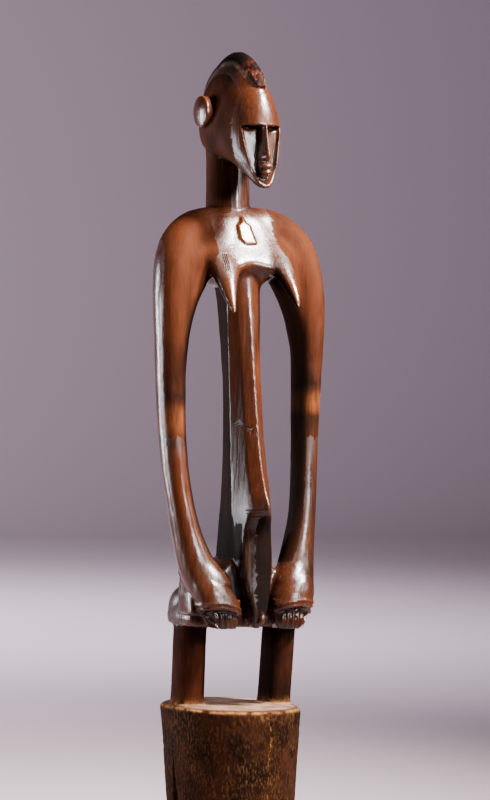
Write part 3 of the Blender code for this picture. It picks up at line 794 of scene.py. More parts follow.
def normals_of(mesh):
    """Each point's outward direction."""
    values = np.zeros(len(mesh.vertices) * 3)
    mesh.vertices.foreach_get("normal", values)
    return values.reshape(-1, 3)


def set_points(mesh, points):
    mesh.vertices.foreach_set("co", points.ravel())
    mesh.update()


def softened_body():
    """The large forms, joined and flowing into one another where the carver smoothed them."""
    body = bmesh.new()
    for form in (base_pounder, legs, hips, trunk, shoulders_and_arms, yoke, breasts):
        form(body)
    mesh = voxel_skin(body, ROUGH_CELL)
    skin = Skin(mesh)
    x, y, z = skin.points.T
    chest = step_up(z, 500.0, 560.0)
    tips = step_up(z, 575.0, 545.0) * step_up(y, -70.0, -90.0)
    arms = step_up(z, 130.0, 200.0) * step_up(np.abs(x), 34.0, 44.0)
    skin.smooth(np.clip(chest * (1.0 - 0.85 * tips) + arms * 0.5, 0.0, 1.0), 22)
    skin.smooth(np.full(len(x), 0.5), 2)
    set_points(mesh, skin.points)
    return mesh


def carved_skin():
    """The soft body with the crisp forms cut on it, as one fine skin."""
    body = bmesh.new()
    soft = softened_body()
    body.from_mesh(soft)
    bpy.data.meshes.remove(soft)
    for form in (
        hip_panels, palms, forearm_edges, hand_edges, cuffs, fingers,
        plaque, neck, head, ear_spools, pubic_point,
    ):
        form(body)
    return voxel_skin(body, FINE_CELL)


def unnod(points):
    """The head's points stood upright again."""
    result = points.copy()
    result[:, 2] -= HEAD_NOD * result[:, 1]
    return result


def crest_half_width(y):
    """Half the width of the raised crest from forehead to nape."""
    rows = (
        (-86.0, 9.5), (-78.0, 11.0), (-62.0, 13.7), (-20.0, 14.2),
        (0.0, 14.5), (20.0, 17.0), (36.0, 18.5), (60.0, 18.0),
    )
    return read_row(rows, y)[0]


def raise_crest(points, height):
    """The points with the crest lifted over the skull."""
    x, y, z = points.T
    start = np.where(y < -20.0, CREST_FRONT_Z, CREST_NAPE_Z)
    inside = step_up(crest_half_width(y) - np.abs(x), -1.0, 1.6) * step_up(z - start, -0.4, 1.6)
    outward = np.stack((np.zeros_like(x), y, z), axis=1) - HEAD_CENTRE
    outward[:, 0] = 0.0
    outward /= np.maximum(np.linalg.norm(outward, axis=1), 1e-6)[:, None]
    return points + outward * (height * inside)[:, None]


def detail_head(mesh, settings):
    """Lifts the crest and sinks the face."""
    skin = Skin(mesh)
    on_head = skin.points[:, 2] > 660.0
    upright = raise_crest(unnod(skin.points[on_head]), settings.crest_height)
    skin.points[on_head] = nod(carve_face(upright))
    set_points(mesh, skin.points)


def carve_mesh(settings):
    """The whole carving with its small forms, in drawn millimetres, before its marks, wear and chips are added.
    """
    mesh = carved_skin()
    detail_head(mesh, settings)
    body = bmesh.new()
    body.from_mesh(mesh)
    bpy.data.meshes.remove(mesh)
    face_features(body)
    mesh = voxel_skin(body, FINE_CELL)
    skin = Skin(mesh)
    skin.smooth(np.full(len(skin.points), 0.6), 2)
    set_points(mesh, skin.points)
    return mesh


def surface_marks(mesh, settings):
    """Adds wear, tool marks, gouges and grooves to the skin and paints where each finish lies."""
    normals = normals_of(mesh)
    skin = Skin(mesh)
    points = skin.points
    x, y, z = points.T
    upright = unnod(points)
    start = np.where(upright[:, 1] < -20.0, CREST_FRONT_Z, CREST_NAPE_Z)
    within = crest_half_width(upright[:, 1]) - np.abs(x)
    above = upright[:, 2] - start
    crest = step_up(within, -2.5, 0.5) * step_up(above, -1.0, 1.5) * (z > 700.0)
    # broad hand-worked unevenness, a few tenths of a millimetre over some 14 mm
    figure = step_up(z, -1.0, 6.0)
    uneven = soft_noise(points, (13.0, 13.0, 26.0), 3) * 0.30 + soft_noise(points, (5.0, 5.0, 9.0), 4) * 0.10
    smooth_place = 1.0 - 0.6 * step_up(z, 690.0, 700.0)
    move = uneven * settings.tool_marks * figure * smooth_place
    # the pounder's side: vertical gouges like bark
    side = step_up(z, 2.0, -5.0) * step_up(np.hypot(x, y), 70.0, 84.0)
    angle = np.arctan2(y, x) * 90.0
    around = np.stack((angle, np.zeros_like(angle), z), axis=1)
    ridges = soft_noise(around, (4.5, 1.0, 13.0), 11) * 0.6 + soft_noise(around, (2.4, 1.0, 6.0), 12) * 0.4
    lumps = soft_noise(points, (30.0, 30.0, 45.0), 13)
    gouged = np.abs(ridges)
    move -= side * settings.gouge_depth * (1.0 - np.clip(gouged * 2.6, 0.0, 1.0)) * 0.9
    move += side * lumps * 1.1
    split = np.abs((np.arctan2(y, x) + math.radians(175.5)) * 90.0)
    split = np.minimum(split, np.abs(split - math.tau * 90.0))
    gape = 0.6 + 5.0 * step_up(z, -66.0, -120.0)
    split = np.clip(1.0 - split / gape, 0.0, 1.0) * step_up(z, -62.0, -76.0)
    crack_x = 12.0 + 1.6 * np.sin(z * 0.12) + 0.9 * np.sin(z * 0.47)
    crack = np.clip(1.0 - np.abs(x - crack_x) / 1.3, 0.0, 1.0) * (y < -80.0)
    crack *= step_up(z, -13.0, -17.0) * step_up(z, -80.0, -70.0)
    chip = np.exp(-(((x - 2.5) / 5.0) ** 2 + ((z + 8.0) / 4.5) ** 2)) * (y < -80.0)
    move -= side * (split * 13.0 + crack * 1.6) + chip * 2.6
    top = step_up(z, -7.0, -1.5) * (z < 3.0) * step_up(np.hypot(x, y), 92.0, 80.0)
    move += top * soft_noise(points, (9.0, 9.0, 9.0), 14) * 0.5
    rim = np.exp(-((np.hypot(x, y) - 93.5) / 2.2) ** 2) * np.exp(-((z + 1.2) / 2.4) ** 2)
    move -= rim * (0.4 + 0.6 * soft_noise(points, (22.0, 22.0, 22.0), 15)) * 1.6
    # the crest's front is broken and worn
    broken = crest * step_up(upright[:, 1], -50.0, -72.0)
    bite = soft_noise(points, (5.0, 5.0, 5.0), 21) + 0.6 * soft_noise(points, (2.8, 2.8, 2.8), 22)
    move -= broken * np.clip(bite + 0.2, 0.0, 1.0) * settings.chip_depth
    rim_line = np.exp(-((within + 0.6) / 0.9) ** 2) * step_up(above, -2.0, 2.0) * (z > 700.0)
    # painted shade: the trunk's side flanks, the arms' inner sides, the belly below the navel and the legs'
    # inner sides are painted near black as shade, and made dull
    inward = -normals[:, 0] * np.sign(x)
    flank = step_up(np.abs(normals[:, 0]), 0.6, 0.85) * step_up(normals[:, 1], -0.3, -0.08)
    flank *= np.abs(x) < 30.0
    arm_side = step_up(inward, 0.25, 0.75) * (np.abs(x) > 30.0)
    painted_shade = np.where((z > 195.0) & (z < 612.0), np.maximum(flank, arm_side), 0.0)
    low_trunk = step_up(z, 266.0, 250.0) * step_up(z, 112.0, 140.0) * (np.abs(x) < 24.0)
    painted_shade = np.maximum(painted_shade, low_trunk * step_up(x, -10.0, -3.0) * (y < -50.0))
    painted_shade = np.maximum(painted_shade, np.where((z > 4.0) & (z < 108.0), step_up(inward, 0.2, 0.8), 0.0))
    # darker bands round the arms are stains; painted shade lies low on the trunk under the navel, on the fingers
    # under the wrists and at the tops of the legs under the hips; the skull round the crest and the whole far
    # leg are painted darker too
    near_arm = np.exp(-((z - 413.0) / 7.0) ** 2) + np.exp(-((z - 354.0) / 6.0) ** 2)
    far_arm = np.exp(-((z - 430.0) / 10.0) ** 2) + np.exp(-((z - 385.0) / 7.0) ** 2)
    arm_stain = np.where(x < 0.0, near_arm, far_arm) * (np.abs(x) > 60.0)
    leg_top = step_up(z, 74.0, 104.0) * (z < 108.0)
    under_crest = step_up(z, 780.0, 830.0) * step_up(np.abs(x), 36.0, 22.0) * (y > -50.0)
    far_leg = (x > 0.0) * (z > 0.0) * (z < 108.0)
    finger_bed = (y < -70.0) * (np.abs(x) > 28.0) * step_up(z, 136.0, 128.0) * (z > 106.0)
    stain_and_shade = 0.95 * low_trunk + arm_stain + 0.8 * under_crest
    stain_and_shade = np.clip(stain_and_shade + 0.6 * leg_top + 0.6 * far_leg + 0.7 * finger_bed, 0.0, 1.0)
    middle = np.where(x < 0.0, 383.0, 407.0)
    rubbed = np.exp(-((z - middle) / 17.0) ** 4) * (np.abs(x) > 60.0)
    foot = step_up(z, 11.0, 3.0) * (z > 0.5)
    # dull where hands seldom rub: shoulders, the sides of the head and the legs
    outward = normals[:, 0] * np.sign(x)
    shoulder = step_up(np.abs(x) + 10.0 * step_up(z, 592.0, 612.0), 42.0, 68.0) * (z < 690.0)
    shoulder *= step_up(z, 300.0, 420.0) * step_up(outward, 0.95, 0.8) * step_up(y, -86.0, -74.0)
    head_side = step_up(np.abs(x), 17.0, 27.0) * step_up(np.abs(x), 48.5, 47.0)
    head_side *= (z > 690.0) & (y > -72.0)
    leg = (z > 0.0) * (z < 108.0)
    neck_side = step_up(z, 655.0, 665.0) * step_up(z, 735.0, 725.0) * step_up(x, -6.0, -12.0) * (y > -60.0)
    dull = np.maximum(np.maximum(shoulder, 0.8 * head_side), np.maximum(leg, neck_side))
    points += normals * move[:, None]
    set_points(mesh, points)
    skin.points = points
    hollow = np.einsum("ij,ij->i", skin.spread(points) - points, normals)
    for _ in range(3):
        hollow = skin.spread(hollow)
    finish = {
        "crest": crest,
        "broken": broken * step_up(bite, -0.2, 0.5),
        "pounder": np.maximum(side, step_up(z, 1.0, -3.0)),
        "ridge": side * np.clip(gouged * 2.6, 0.0, 1.0),
        "worn_edge": np.clip(rim * 1.4, 0.0, 1.0),
        "hollow": np.clip(hollow * 8.0, -1.0, 1.0),
        "crest_rim": rim_line,
        "painted_shade": painted_shade,
        "stain_and_shade": stain_and_shade,
        "rubbed": rubbed,
        "bared": np.clip(crack + chip + 0.5 * foot, 0.0, 1.0),
        "split": split,
        "dull": dull,
        "pounder_top": top,
        "lines": np.zeros(len(points)),
    }
    for name, values in finish.items():
        layer = mesh.attributes.new(name, "FLOAT", "POINT")
        layer.data.foreach_set("value", np.asarray(values, np.float32))
    return mesh


def place(points):
    """Drawn points in the part's frame in metres, with the log's slight slope."""
    x, y, z = points.T
    slope = read_row(LEVEL_SLOPE, z)[0]
    height = z + BASE_HEIGHT + slope * (0.88 * x - 0.47 * y)
    return np.stack((x, y, height), axis=1) * MM


def thin_and_floor(mesh):
    """Thins the skin to its share of triangles and cuts the pounder off level at the floor."""
    thing = bpy.data.objects.new("thin", mesh)
    bpy.context.scene.collection.objects.link(thing)
    mesh.calc_loop_triangles()
    thin = thing.modifiers.new("thin", "DECIMATE")
    thin.ratio = min(1.0, TRIANGLES / len(mesh.loop_triangles))
    graph = bpy.context.evaluated_depsgraph_get()
    light = bpy.data.meshes.new_from_object(thing.evaluated_get(graph))
    bpy.data.objects.remove(thing)
    bpy.data.meshes.remove(mesh)
    body = bmesh.new()
    body.from_mesh(light)
    everything = body.verts[:] + body.edges[:] + body.faces[:]
    cut = bmesh.ops.bisect_plane(
        body, geom=everything, dist=1e-4, plane_co=(0.0, 0.0, -BASE_HEIGHT), plane_no=(0.0, 0.0, -1.0),
        clear_outer=True,
    )
    rim = [item for item in cut["geom_cut"] if isinstance(item, bmesh.types.BMEdge)]
    bmesh.ops.edgeloop_fill(body, edges=rim)
    bmesh.ops.triangulate(body, faces=body.faces[:])
    bmesh.ops.recalc_face_normals(body, faces=body.faces[:])
    body.to_mesh(light)
    body.free()
    return light


def local_marks():
    """The scratched marks on chest, belly and trunk, each a path in x and z, half width and depth."""
    chest = ((-41.0, 604.0), (-42.0, 593.0), (-43.0, 582.0))
    belly = ((-17.5, 256.0), (-5.0, 257.5))
    band = ((-21.7, 375.5), (-18.0, 378.0), (-13.0, 372.0), (0.0, 361.5), (14.3, 355.0))
    marks = []
    for path, shifts, half_width, depth in (
        (chest, ((-2.7, 0.0), (0.0, 0.0), (2.7, 0.0)), 0.9, 1.1),
        (belly, ((0.0, 0.0), (0.0, 4.2), (0.0, 8.4)), 0.7, 0.9),
        (band, ((0.0, 0.0), (0.0, 2.8)), 0.7, 0.7),
    ):
        for along_x, along_z in shifts:
            marks.append(([(x + along_x, z + along_z) for x, z in path], half_width, depth))
    return marks


def path_distance(points, path):
    """Each point's distance to a path seen from in front, in the drawing's own x and z."""
    best = np.full(len(points), 1e9)
    flat = points[:, (0, 2)]
    for start, end in zip(path, path[1:]):
        low = np.array(start)
        along = np.array(end) - low
        share = np.clip((flat - low) @ along / (along @ along), 0.0, 1.0)
        best = np.minimum(best, np.linalg.norm(flat - low - share[:, None] * along, axis=1))
    return best


def scratch_marks(mesh):
    """Divides the skin finely beside each mark and cuts the mark in."""
    body = bmesh.new()
    body.from_mesh(mesh)
    for margin in (4.5, 2.6, 1.5):
        points = np.array([vert.co for vert in body.verts])
        near = np.zeros(len(points), bool)
        for path, half_width, _ in local_marks():
            near |= (path_distance(points, path) < half_width + margin) & (points[:, 1] < -45.0)
        body.verts.ensure_lookup_table()
        edges = [edge for edge in body.edges if near[edge.verts[0].index] and near[edge.verts[1].index]]
        bmesh.ops.subdivide_edges(body, edges=edges, cuts=1, use_grid_fill=True)
        bmesh.ops.triangulate(body, faces=[face for face in body.faces if len(face.verts) > 3])
        body.verts.index_update()
    body.normal_update()
    body.to_mesh(mesh)
    body.free()
    points = Skin(mesh).points
    normals = normals_of(mesh)
    lines = np.zeros(len(points))
    depth_here = np.zeros(len(points))
    for path, half_width, depth in local_marks():
        cut = step_up(path_distance(points, path), half_width, half_width * 0.15) * (points[:, 1] < -45.0)
        lines = np.maximum(lines, cut)
        depth_here = np.maximum(depth_here, cut * depth)
    set_points(mesh, points - normals * depth_here[:, None])
    mesh.attributes["lines"].data.foreach_set("value", np.asarray(lines, np.float32))


class Nodes:
    """The node tree of one material."""

    def __init__(self, name):
        self.material = bpy.data.materials.new(name)
        self.material.use_nodes = True
        self.tree = self.material.node_tree
        self.shader = self.tree.nodes["Principled BSDF"]

    def add(self, kind, settings, links, output=0):
        """One node with its settings, fed by sockets, numbers or colours. Gives one of its outputs."""
        node = self.tree.nodes.new(kind)
        for name, value in settings.items():
            setattr(node, name, value)
        self.feed(node, links)
        return node.outputs[output]

    def feed(self, node, links):
        for name, value in links.items():
            socket = node.inputs[name]
            if isinstance(value, bpy.types.NodeSocket):
                self.tree.links.new(value, socket)
            elif socket.type == "RGBA":
                socket.default_value = (*value, 1.0)
            else:
                socket.default_value = value


# Noise patterns of the wood: name, cells per metre, detail, stretch along x, y and z, and roughness
PATTERNS = (
    # grain streaks about 3 mm wide and 14 times as long, up the log
    ("streak", 300.0, 4.0, (1.0, 1.0, 0.07), 0.6),
    # clouds of darker and lighter handling, some 60 and 30 mm across
    ("cloud", 15.0, 3.0, (1.0, 1.0, 0.5), 0.5),
    ("patch", 34.0, 3.0, (1.0, 1.0, 0.4), 0.5),
    # pores about 1 mm wide and 4 mm long, and knife marks of some 2 mm
    ("pores", 900.0, 2.0, (1.0, 1.0, 0.25), 0.5),
    ("knife", 420.0, 3.0, (1.0, 1.0, 0.6), 0.5),
    # the crest's chips and dusty rim
    ("chips", 330.0, 2.0, (1.0, 1.0, 1.0), 0.5),
    ("dust", 60.0, 2.0, (1.0, 1.0, 1.0), 0.5),
    # the pounder: stains of 40 mm, bark-like flecks of 2 by 6 mm, and the fields that they lie in
    ("mottle", 26.0, 4.0, (1.0, 1.0, 0.8), 0.6),
    ("flecks", 430.0, 3.0, (1.0, 1.0, 0.38), 0.6),
    ("fields", 17.0, 3.0, (1.0, 1.0, 1.0), 0.5),
    # wear on the pounder's top, its rim and the bared wood
    ("scuffs", 48.0, 4.0, (1.0, 1.0, 1.0), 0.5),
    ("rim_wear", 90.0, 3.0, (1.0, 1.0, 1.0), 0.5),
    ("bare_wear", 150.0, 3.0, (1.0, 1.0, 1.0), 0.5),
)
# Coats of the figure, laid in this order: colour, the zone that it keeps to, then the pattern or zone
# that drives it, that one's low and high, and how strongly the coat covers there
FIGURE_COATS = (
    ("wood_red", None, "cloud", 0.36, 0.62, 0.0, 1.0),
    ("wood_light", None, "streak", 0.52, 0.78, 0.0, 0.22),
    ("wood_dark", None, "streak", 0.47, 0.30, 0.0, 0.35),
    ("wood_worn", None, "patch", 0.56, 0.72, 0.0, 0.45),
    ("wood_light", "rubbed", "streak", 0.36, 0.6, 0.15, 0.85),
    # stains round the arms, and painted shade on the low belly, the fingers under the wrists and the leg tops
    ("soot_and_shade", "stain_and_shade", "streak", 0.66, 0.4, 0.55, 0.92),
    # darker in the hollows: partly patina and partly painted shade in the recesses; lighter on the edges where
    # worn
    ("soot_and_shade", None, "hollow", 0.05, 0.8, 0.0, 0.85),
    ("wood_light", None, "hollow", -0.15, -0.9, 0.0, 0.2),
    # painted shade: the inner flanks, low belly and inner legs coated near black
    ("soot_and_shade", None, "painted_shade", 0.0, 1.0, 0.0, 0.82),
    ("soot_and_shade", None, "crest", 0.0, 1.0, 0.0, 0.95),
    ("chip_red", None, "broken", 0.0, 1.0, 0.0, 0.75),
    ("chip_wood", "broken", "chips", 0.58, 0.7, 0.0, 0.5),
    ("top_wood", "crest_rim", "dust", 0.34, 0.6, 0.1, 0.5),
)
POUNDER_COATS = (
    ("pounder_brown", None, "mottle", 0.4, 0.62, 0.0, 1.0),
    ("pounder_fleck", "fleck_share", "flecks", 0.5, 0.63, 0.0, 1.0),
    ("pounder_dark", None, "pores", 0.5, 0.3, 0.0, 0.5),
)
# Flecks lie thickest on the ridges between the gouges, and only in some fields
FLECKING = (
    ("ridge", 0.0, 1.0, 0.4, 1.0),
    ("fields", 0.36, 0.64, 0.15, 0.8),
)
WEAR_COATS = (
    ("top_wood", "pounder_top", "scuffs", 0.32, 0.6, 0.35, 0.9),
    ("bare_wood", "worn_edge", "rim_wear", 0.38, 0.6, 0.0, 1.0),
    ("bare_wood", "bared", "bare_wear", 0.38, 0.6, 0.0, 0.75),
    ("soot_and_shade", None, "split", 0.0, 1.0, 0.0, 1.0),
    ("wood_dark", None, "lines", 0.0, 1.0, 0.0, 0.8),
)
# What makes the wood rougher than where hands have polished it: pattern or zone, its low and high,
# and the roughness added at each
DULLING = (
    ("streak", 0.3, 0.75, -0.05, 0.10),
    ("cloud", 0.4, 0.7, 0.1, -0.04),
    ("crest", 0.0, 1.0, 0.0, 0.3),
    ("painted_shade", 0.0, 1.0, 0.0, 0.45),
    ("pounder_top", 0.0, 1.0, 0.0, 0.3),
    ("lines", 0.0, 1.0, 0.0, 0.4),
    ("dull", 0.0, 1.0, 0.0, 0.45),
    ("pounder", 0.0, 1.0, 0.0, 0.4),
)


def carved_hardwood(name, settings, reflection):
    """Dense hardwood, adzed and knifed, then oiled and handled, or left dry under soot and dust.

    Oiled, it gives the eye a deep red-brown with darker streaks along the grain and a shine like waxed
    leather. Dry, it gives a dull black crest, flanks painted near black as shade, and a rough pounder with light
    flecks.
    """
    n = Nodes(name)
    sockets = {}
    for zone in ZONES:
        sockets[zone] = n.add("ShaderNodeAttribute", {"attribute_name": zone}, {}, "Fac")
    spot = n.add("ShaderNodeTexCoord", {}, {}, "Object")
    for pattern, scale, detail, stretch, rough in PATTERNS:
        mapped = n.add("ShaderNodeMapping", {}, {"Vector": spot, "Scale": stretch})
        links = {"Vector": mapped, "Scale": scale, "Detail": detail, "Roughness": rough}
        sockets[pattern] = n.add("ShaderNodeTexNoise", {}, links, "Fac")

    # how strongly a pattern or zone acts, from its low to its high
    driven = {}
    drives = [coat[2:] for coat in FIGURE_COATS + POUNDER_COATS + WEAR_COATS] + [*DULLING, *FLECKING]
    for source, *reach in drives:
        links = zip(("Value", "From Min", "From Max", "To Min", "To Max"), (sockets[source], *reach))
        driven[(source, *reach)] = n.add("ShaderNodeMapRange", {}, dict(links))

    def coated(under, coats):
        """The colour under the coats with each coat laid over it."""
        for hue, zone, *drive in coats:
            share = driven[tuple(drive)]
            if zone:
                clamped = {"operation": "MULTIPLY", "use_clamp": True}
                share = n.add("ShaderNodeMath", clamped, {0: sockets[zone], 1: share})
            links = {0: share, 6: under, 7: getattr(settings, hue)}
            under = n.add("ShaderNodeMix", {"data_type": "RGBA"}, links, 2)
        return under

    ridges, fields = (driven[drive] for drive in FLECKING)
    sockets["fleck_share"] = n.add("ShaderNodeMath", {"operation": "MULTIPLY"}, {0: ridges, 1: fields})
    figure = coated(settings.wood_dark, FIGURE_COATS)
    log = coated(settings.pounder_dark, POUNDER_COATS)
    joined = n.add("ShaderNodeMix", {"data_type": "RGBA"}, {0: sockets["pounder"], 6: figure, 7: log}, 2)
    roughness = settings.shine
    for drive in DULLING:
        added = {0: roughness, 1: driven[drive]}
        roughness = n.add("ShaderNodeMath", {"operation": "ADD", "use_clamp": True}, added)
    # streaks and knife marks a fraction of a millimetre deep, drawn twice their depth so that they show
    softer = n.add("ShaderNodeMath", {"operation": "MULTIPLY"}, {0: sockets["knife"], 1: 0.8})
    height = n.add("ShaderNodeMath", {"operation": "ADD"}, {0: sockets["streak"], 1: softer})
    relief = n.add("ShaderNodeBump", {}, {"Strength": 0.35, "Distance": 0.0006, "Height": height})
    colour_now = coated(joined, WEAR_COATS)
    n.feed(n.shader, {"Base Color": colour_now, "Roughness": roughness, "Normal": relief})
    n.shader.inputs["IOR"].default_value = 1.55
    n.shader.inputs["Specular IOR Level"].default_value = reflection
    return n.material


def studio_paper(settings):
    """Seamless background paper, rolled and matt: it gives the eye an even pale field."""
    n = Nodes("seamless_paper")
    n.feed(n.shader, {"Base Color": settings.paper})
    n.shader.inputs["Roughness"].default_value = 0.9
    return n.material


def colour(name, code, about):
    """A colour that a user may change."""
    return bpy.props.FloatVectorProperty(
        name=name, description=about, subtype="COLOR", size=3, min=0.0, max=1.0, default=linear(code)
    )


def number(name, about, default, **limits):
    """A measure that a user may change."""
    return bpy.props.FloatProperty(name=name, description=about, default=default, **limits)


class PounderFinish(bpy.types.PropertyGroup):
    """Colours, shine and wear of the carved wood."""

    wood_red: colour("Red wood", "#3d1c0d", "The figure's own red-brown")
    wood_dark: colour("Dark wood", "#1f0c06", "Oil-soaked streaks")
    wood_light: colour("Lit wood", "#5c3118", "Wood rubbed thin of its oil")
    # Near black of the sooty crest, also used for painted shade on the flanks, low belly, fingers, leg tops and
    # in recesses
    soot_and_shade: colour("Soot", "#080504", "Crest and deep grooves")
    bare_wood: colour("Bare wood", "#8a5c32", "Worn edges")
    wood_worn: colour("Worn wood", "#42251a", "Patches handled dull and brown")
    chip_red: colour("Chip red", "#34110a", "Wood bared where the crest broke")
    chip_wood: colour("Chipped wood", "#6a3c28", "Splinters in the crest's broken front")
    pounder_dark: colour("Pounder dark", "#150905", "The pounder's valleys")
    pounder_brown: colour("Pounder brown", "#2d160b", "The pounder's sides")
    pounder_fleck: colour("Pounder fleck", "#563a21", "Dry fibres on the gouged ridges")
    top_wood: colour("Top wood", "#86695a", "The pounder's top, dusty and trodden dry")
    shine: number("Shine", "Roughness of the handled wood", 0.20, min=0.05, max=1.0)
    crest_height: number("Crest height", "How far it stands up, in millimetres", 4.5, min=0.0, max=12.0)
    tool_marks: number("Tool marks", "Strength of the knife's unevenness", 1.0, min=0.0, max=4.0)
    gouge_depth: number("Gouge depth", "On the pounder, in millimetres", 0.8, min=0.0, max=6.0)
    chip_depth: number("Chip depth", "At the crest's broken front, in millimetres", 1.8, min=0.0, max=8.0)


class PounderStudio(bpy.types.PropertyGroup):
    """The plain studio and the camera."""

    paper: colour("Paper", "#998b94", "Floor and backdrop")
    camera_turn: number("Camera turn", "Angle round the figure", math.radians(-28.0), subtype="ANGLE")
    camera_distance: number("Camera distance", "From the figure's axis", 3.9, unit="LENGTH", min=1.0)
    camera_height: number("Camera height", "Above the floor", 0.61, unit="LENGTH")
    camera_shift: number("Camera shift", "To the right of the figure's axis", 0.0196, unit="LENGTH")
    lens: number("Lens", "Focal length in millimetres", 130.0, min=20.0)


class CarveFigure(bpy.types.Operator):
    """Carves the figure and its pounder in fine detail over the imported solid"""

    bl_idname = "pounder.carve_figure"
    bl_label = "Carve the figure"

    def execute(self, context):
        settings = context.scene.pounder_finish
        mesh = surface_marks(carve_mesh(settings), settings)
        light = thin_and_floor(mesh)
        scratch_marks(light)
        points = Skin(light).points
        set_points(light, place(points))
        light.name = "carved_wood_figure"
        light.shade_smooth()
        light.materials.clear()
        light.materials.append(carved_hardwood("oiled_carved_hardwood", settings, 0.3))
        # the dry material also takes the faces painted near black as shade
        light.materials.append(carved_hardwood("dry_sooted_and_shaded_hardwood", settings, 0.02))
        dry = np.zeros(len(light.vertices))
        for name in DRY_ZONES:
            zone = np.zeros(len(light.vertices), np.float32)
            light.attributes[name].data.foreach_get("value", zone)
            dry = np.maximum(dry, zone)
        corners = np.zeros(len(light.loops), np.int64)
        light.loops.foreach_get("vertex_index", corners)
        dry_faces = dry[corners].reshape(-1, 3).mean(axis=1) > 0.5
        light.polygons.foreach_set("material_index", dry_faces.astype(np.int32))
        piece = bpy.data.objects.new("carved_wood_figure", light)
        context.scene.collection.objects.link(piece)
        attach(piece, "root")
        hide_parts(NODE)
        return {"FINISHED"}


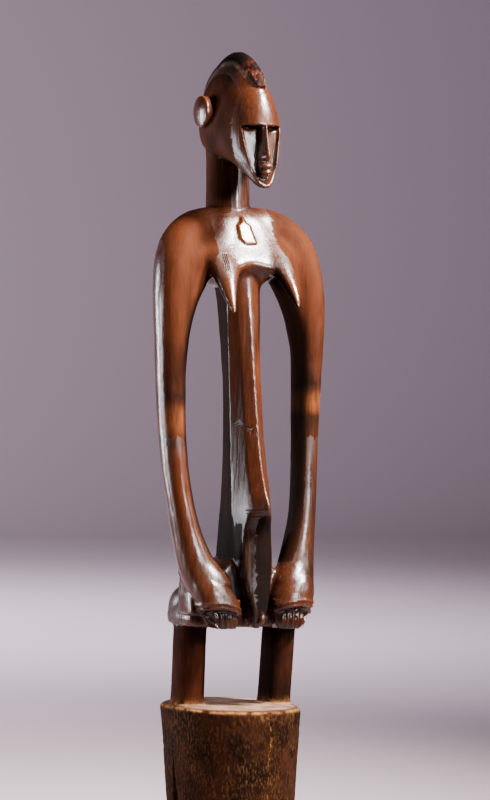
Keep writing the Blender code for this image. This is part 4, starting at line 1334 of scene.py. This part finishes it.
class SetStudio(bpy.types.Operator):
    """Lays the pale floor and backdrop, sets the soft lights and the camera"""

    bl_idname = "pounder.set_studio"
    bl_label = "Set the studio"

    def execute(self, context):
        settings = context.scene.pounder_studio
        turn = settings.camera_turn
        right = Vector((math.cos(turn), math.sin(turn), 0.0))
        back = Vector((math.sin(turn), -math.cos(turn), 0.0))
        target = Vector((0.0, 0.0, settings.camera_height)) + right * settings.camera_shift
        camera = bpy.data.cameras.new("photo_camera")
        camera.lens = settings.lens
        camera.sensor_width = 36.0
        rig = bpy.data.objects.new("photo_camera", camera)
        rig.location = target + back * settings.camera_distance
        rig.rotation_mode = "QUATERNION"
        rig.rotation_quaternion = (-back).to_track_quat("-Z", "Y")
        context.scene.collection.objects.link(rig)
        context.scene.camera = rig
        self.sweep(context, settings)
        self.lights(context, right, back)
        return {"FINISHED"}

    def sweep(self, context, settings):
        """A round floor that curves up to a low wall all round, wider than the camera stands away."""
        floor_radius = 9.0
        bend = 4.0
        profile = [(0.0, 0.0), (floor_radius, 0.0)]
        for step in range(1, 13):
            angle = math.pi / 2.0 * step / 12
            profile.append((floor_radius + bend * math.sin(angle), bend * (1.0 - math.cos(angle))))
        profile.append((floor_radius + bend, 6.0))
        body = bmesh.new()
        columns = []
        for step in range(96):
            angle = math.tau * step / 96
            x, y = math.cos(angle), math.sin(angle)
            columns.append([body.verts.new((reach * x, reach * y, z)) for reach, z in profile])
        for step, column in enumerate(columns):
            beside = columns[step - 1]
            for index in range(len(profile) - 1):
                body.faces.new((beside[index], column[index], column[index + 1], beside[index + 1]))
        bmesh.ops.remove_doubles(body, verts=body.verts[:], dist=1e-5)
        bmesh.ops.recalc_face_normals(body, faces=body.faces[:])
        mesh = bpy.data.meshes.new("studio_paper")
        body.to_mesh(mesh)
        body.free()
        mesh.shade_smooth()
        mesh.materials.append(studio_paper(settings))
        paper = bpy.data.objects.new("studio_paper", mesh)
        context.scene.collection.objects.link(paper)

    def lights(self, context, right, back):
        """Soft boxes round the figure: the key high at the right, strips at the left, washes behind.

        A row is name, place and aim (right, toward the camera, up), size, watts, spread and tint.
        """
        rows = (
            ("key_box", (1.65, 0.65, 2.6), (0.0, 0.0, 0.8), (0.45, 0.45), 66.0, 52.0, (1.0, 0.95, 0.88)),
            ("face_box", (1.25, 1.5, 1.2), (0.0, 0.0, 0.97), (0.35, 0.3), 13.0, 60.0, (0.98, 0.95, 1.0)),
            ("right_box", (1.9, 0.3, 1.2), (0.0, 0.0, 0.97), (0.25, 0.25), 4.0, 90.0, (1.0, 0.92, 0.85)),
            ("left_strip", (-1.7, -0.5, 0.7), (0.0, 0.0, 0.6), (0.12, 0.9), 13.0, 90.0, (0.93, 0.94, 1.0)),
            ("left_side", (-1.78, 0.25, 0.62), (0.0, 0.0, 0.6), (0.12, 0.6), 5.0, 80.0, (0.97, 0.95, 1.0)),
            ("backdrop_wash", (-2.6, -2.0, 2.8), (-3.4, -10.0, 1.0), (1.2, 1.2), 480.0, 110.0, (0.98, 0.9, 1.0)),
            ("floor_wash", (-0.7, -3.2, 3.8), (-0.7, -3.6, 0.0), (1.8, 1.8), 150.0, 80.0, (0.96, 0.9, 1.0)),
        )
        for name, spot, aim, size, power, spread, tint in rows:
            light = bpy.data.lights.new(name, "AREA")
            light.shape = "RECTANGLE"
            light.size, light.size_y = size
            light.energy = power
            light.spread = math.radians(spread)
            light.color = tint
            lamp = bpy.data.objects.new(name, light)
            lamp.location = right * spot[0] + back * spot[1] + Vector((0.0, 0.0, spot[2]))
            goal = right * aim[0] + back * aim[1] + Vector((0.0, 0.0, aim[2]))
            lamp.rotation_mode = "QUATERNION"
            lamp.rotation_quaternion = (goal - lamp.location).to_track_quat("-Z", "Y")
            context.scene.collection.objects.link(lamp)
        world = bpy.data.worlds.new("studio_air")
        world.use_nodes = True
        air = world.node_tree.nodes["Background"]
        air.inputs["Color"].default_value = (0.62, 0.6, 0.66, 1.0)
        air.inputs["Strength"].default_value = 0.10
        context.scene.world = world


class PounderPanel(bpy.types.Panel):
    """The pounder's tools"""

    bl_idname = "POUNDER_PT_tools"
    bl_label = "Rhythm pounder"
    bl_space_type = "VIEW_3D"
    bl_region_type = "UI"
    bl_category = "Pounder"

    def draw(self, context):
        for operator in (CarveFigure, SetStudio):
            self.layout.operator(operator.bl_idname)
        for group in (context.scene.pounder_finish, context.scene.pounder_studio):
            for name in group.__annotations__:
                self.layout.prop(group, name)


CLASSES = (PounderFinish, PounderStudio, CarveFigure, SetStudio, PounderPanel)


def register():
    for item in CLASSES:
        bpy.utils.register_class(item)
    bpy.types.Scene.pounder_finish = bpy.props.PointerProperty(type=PounderFinish)
    bpy.types.Scene.pounder_studio = bpy.props.PointerProperty(type=PounderStudio)


def unregister():
    del bpy.types.Scene.pounder_studio
    del bpy.types.Scene.pounder_finish
    for item in reversed(CLASSES):
        bpy.utils.unregister_class(item)


def main():
    register()
    bpy.ops.pounder.carve_figure()
    bpy.ops.pounder.set_studio()


if __name__ == "__main__":
    main()
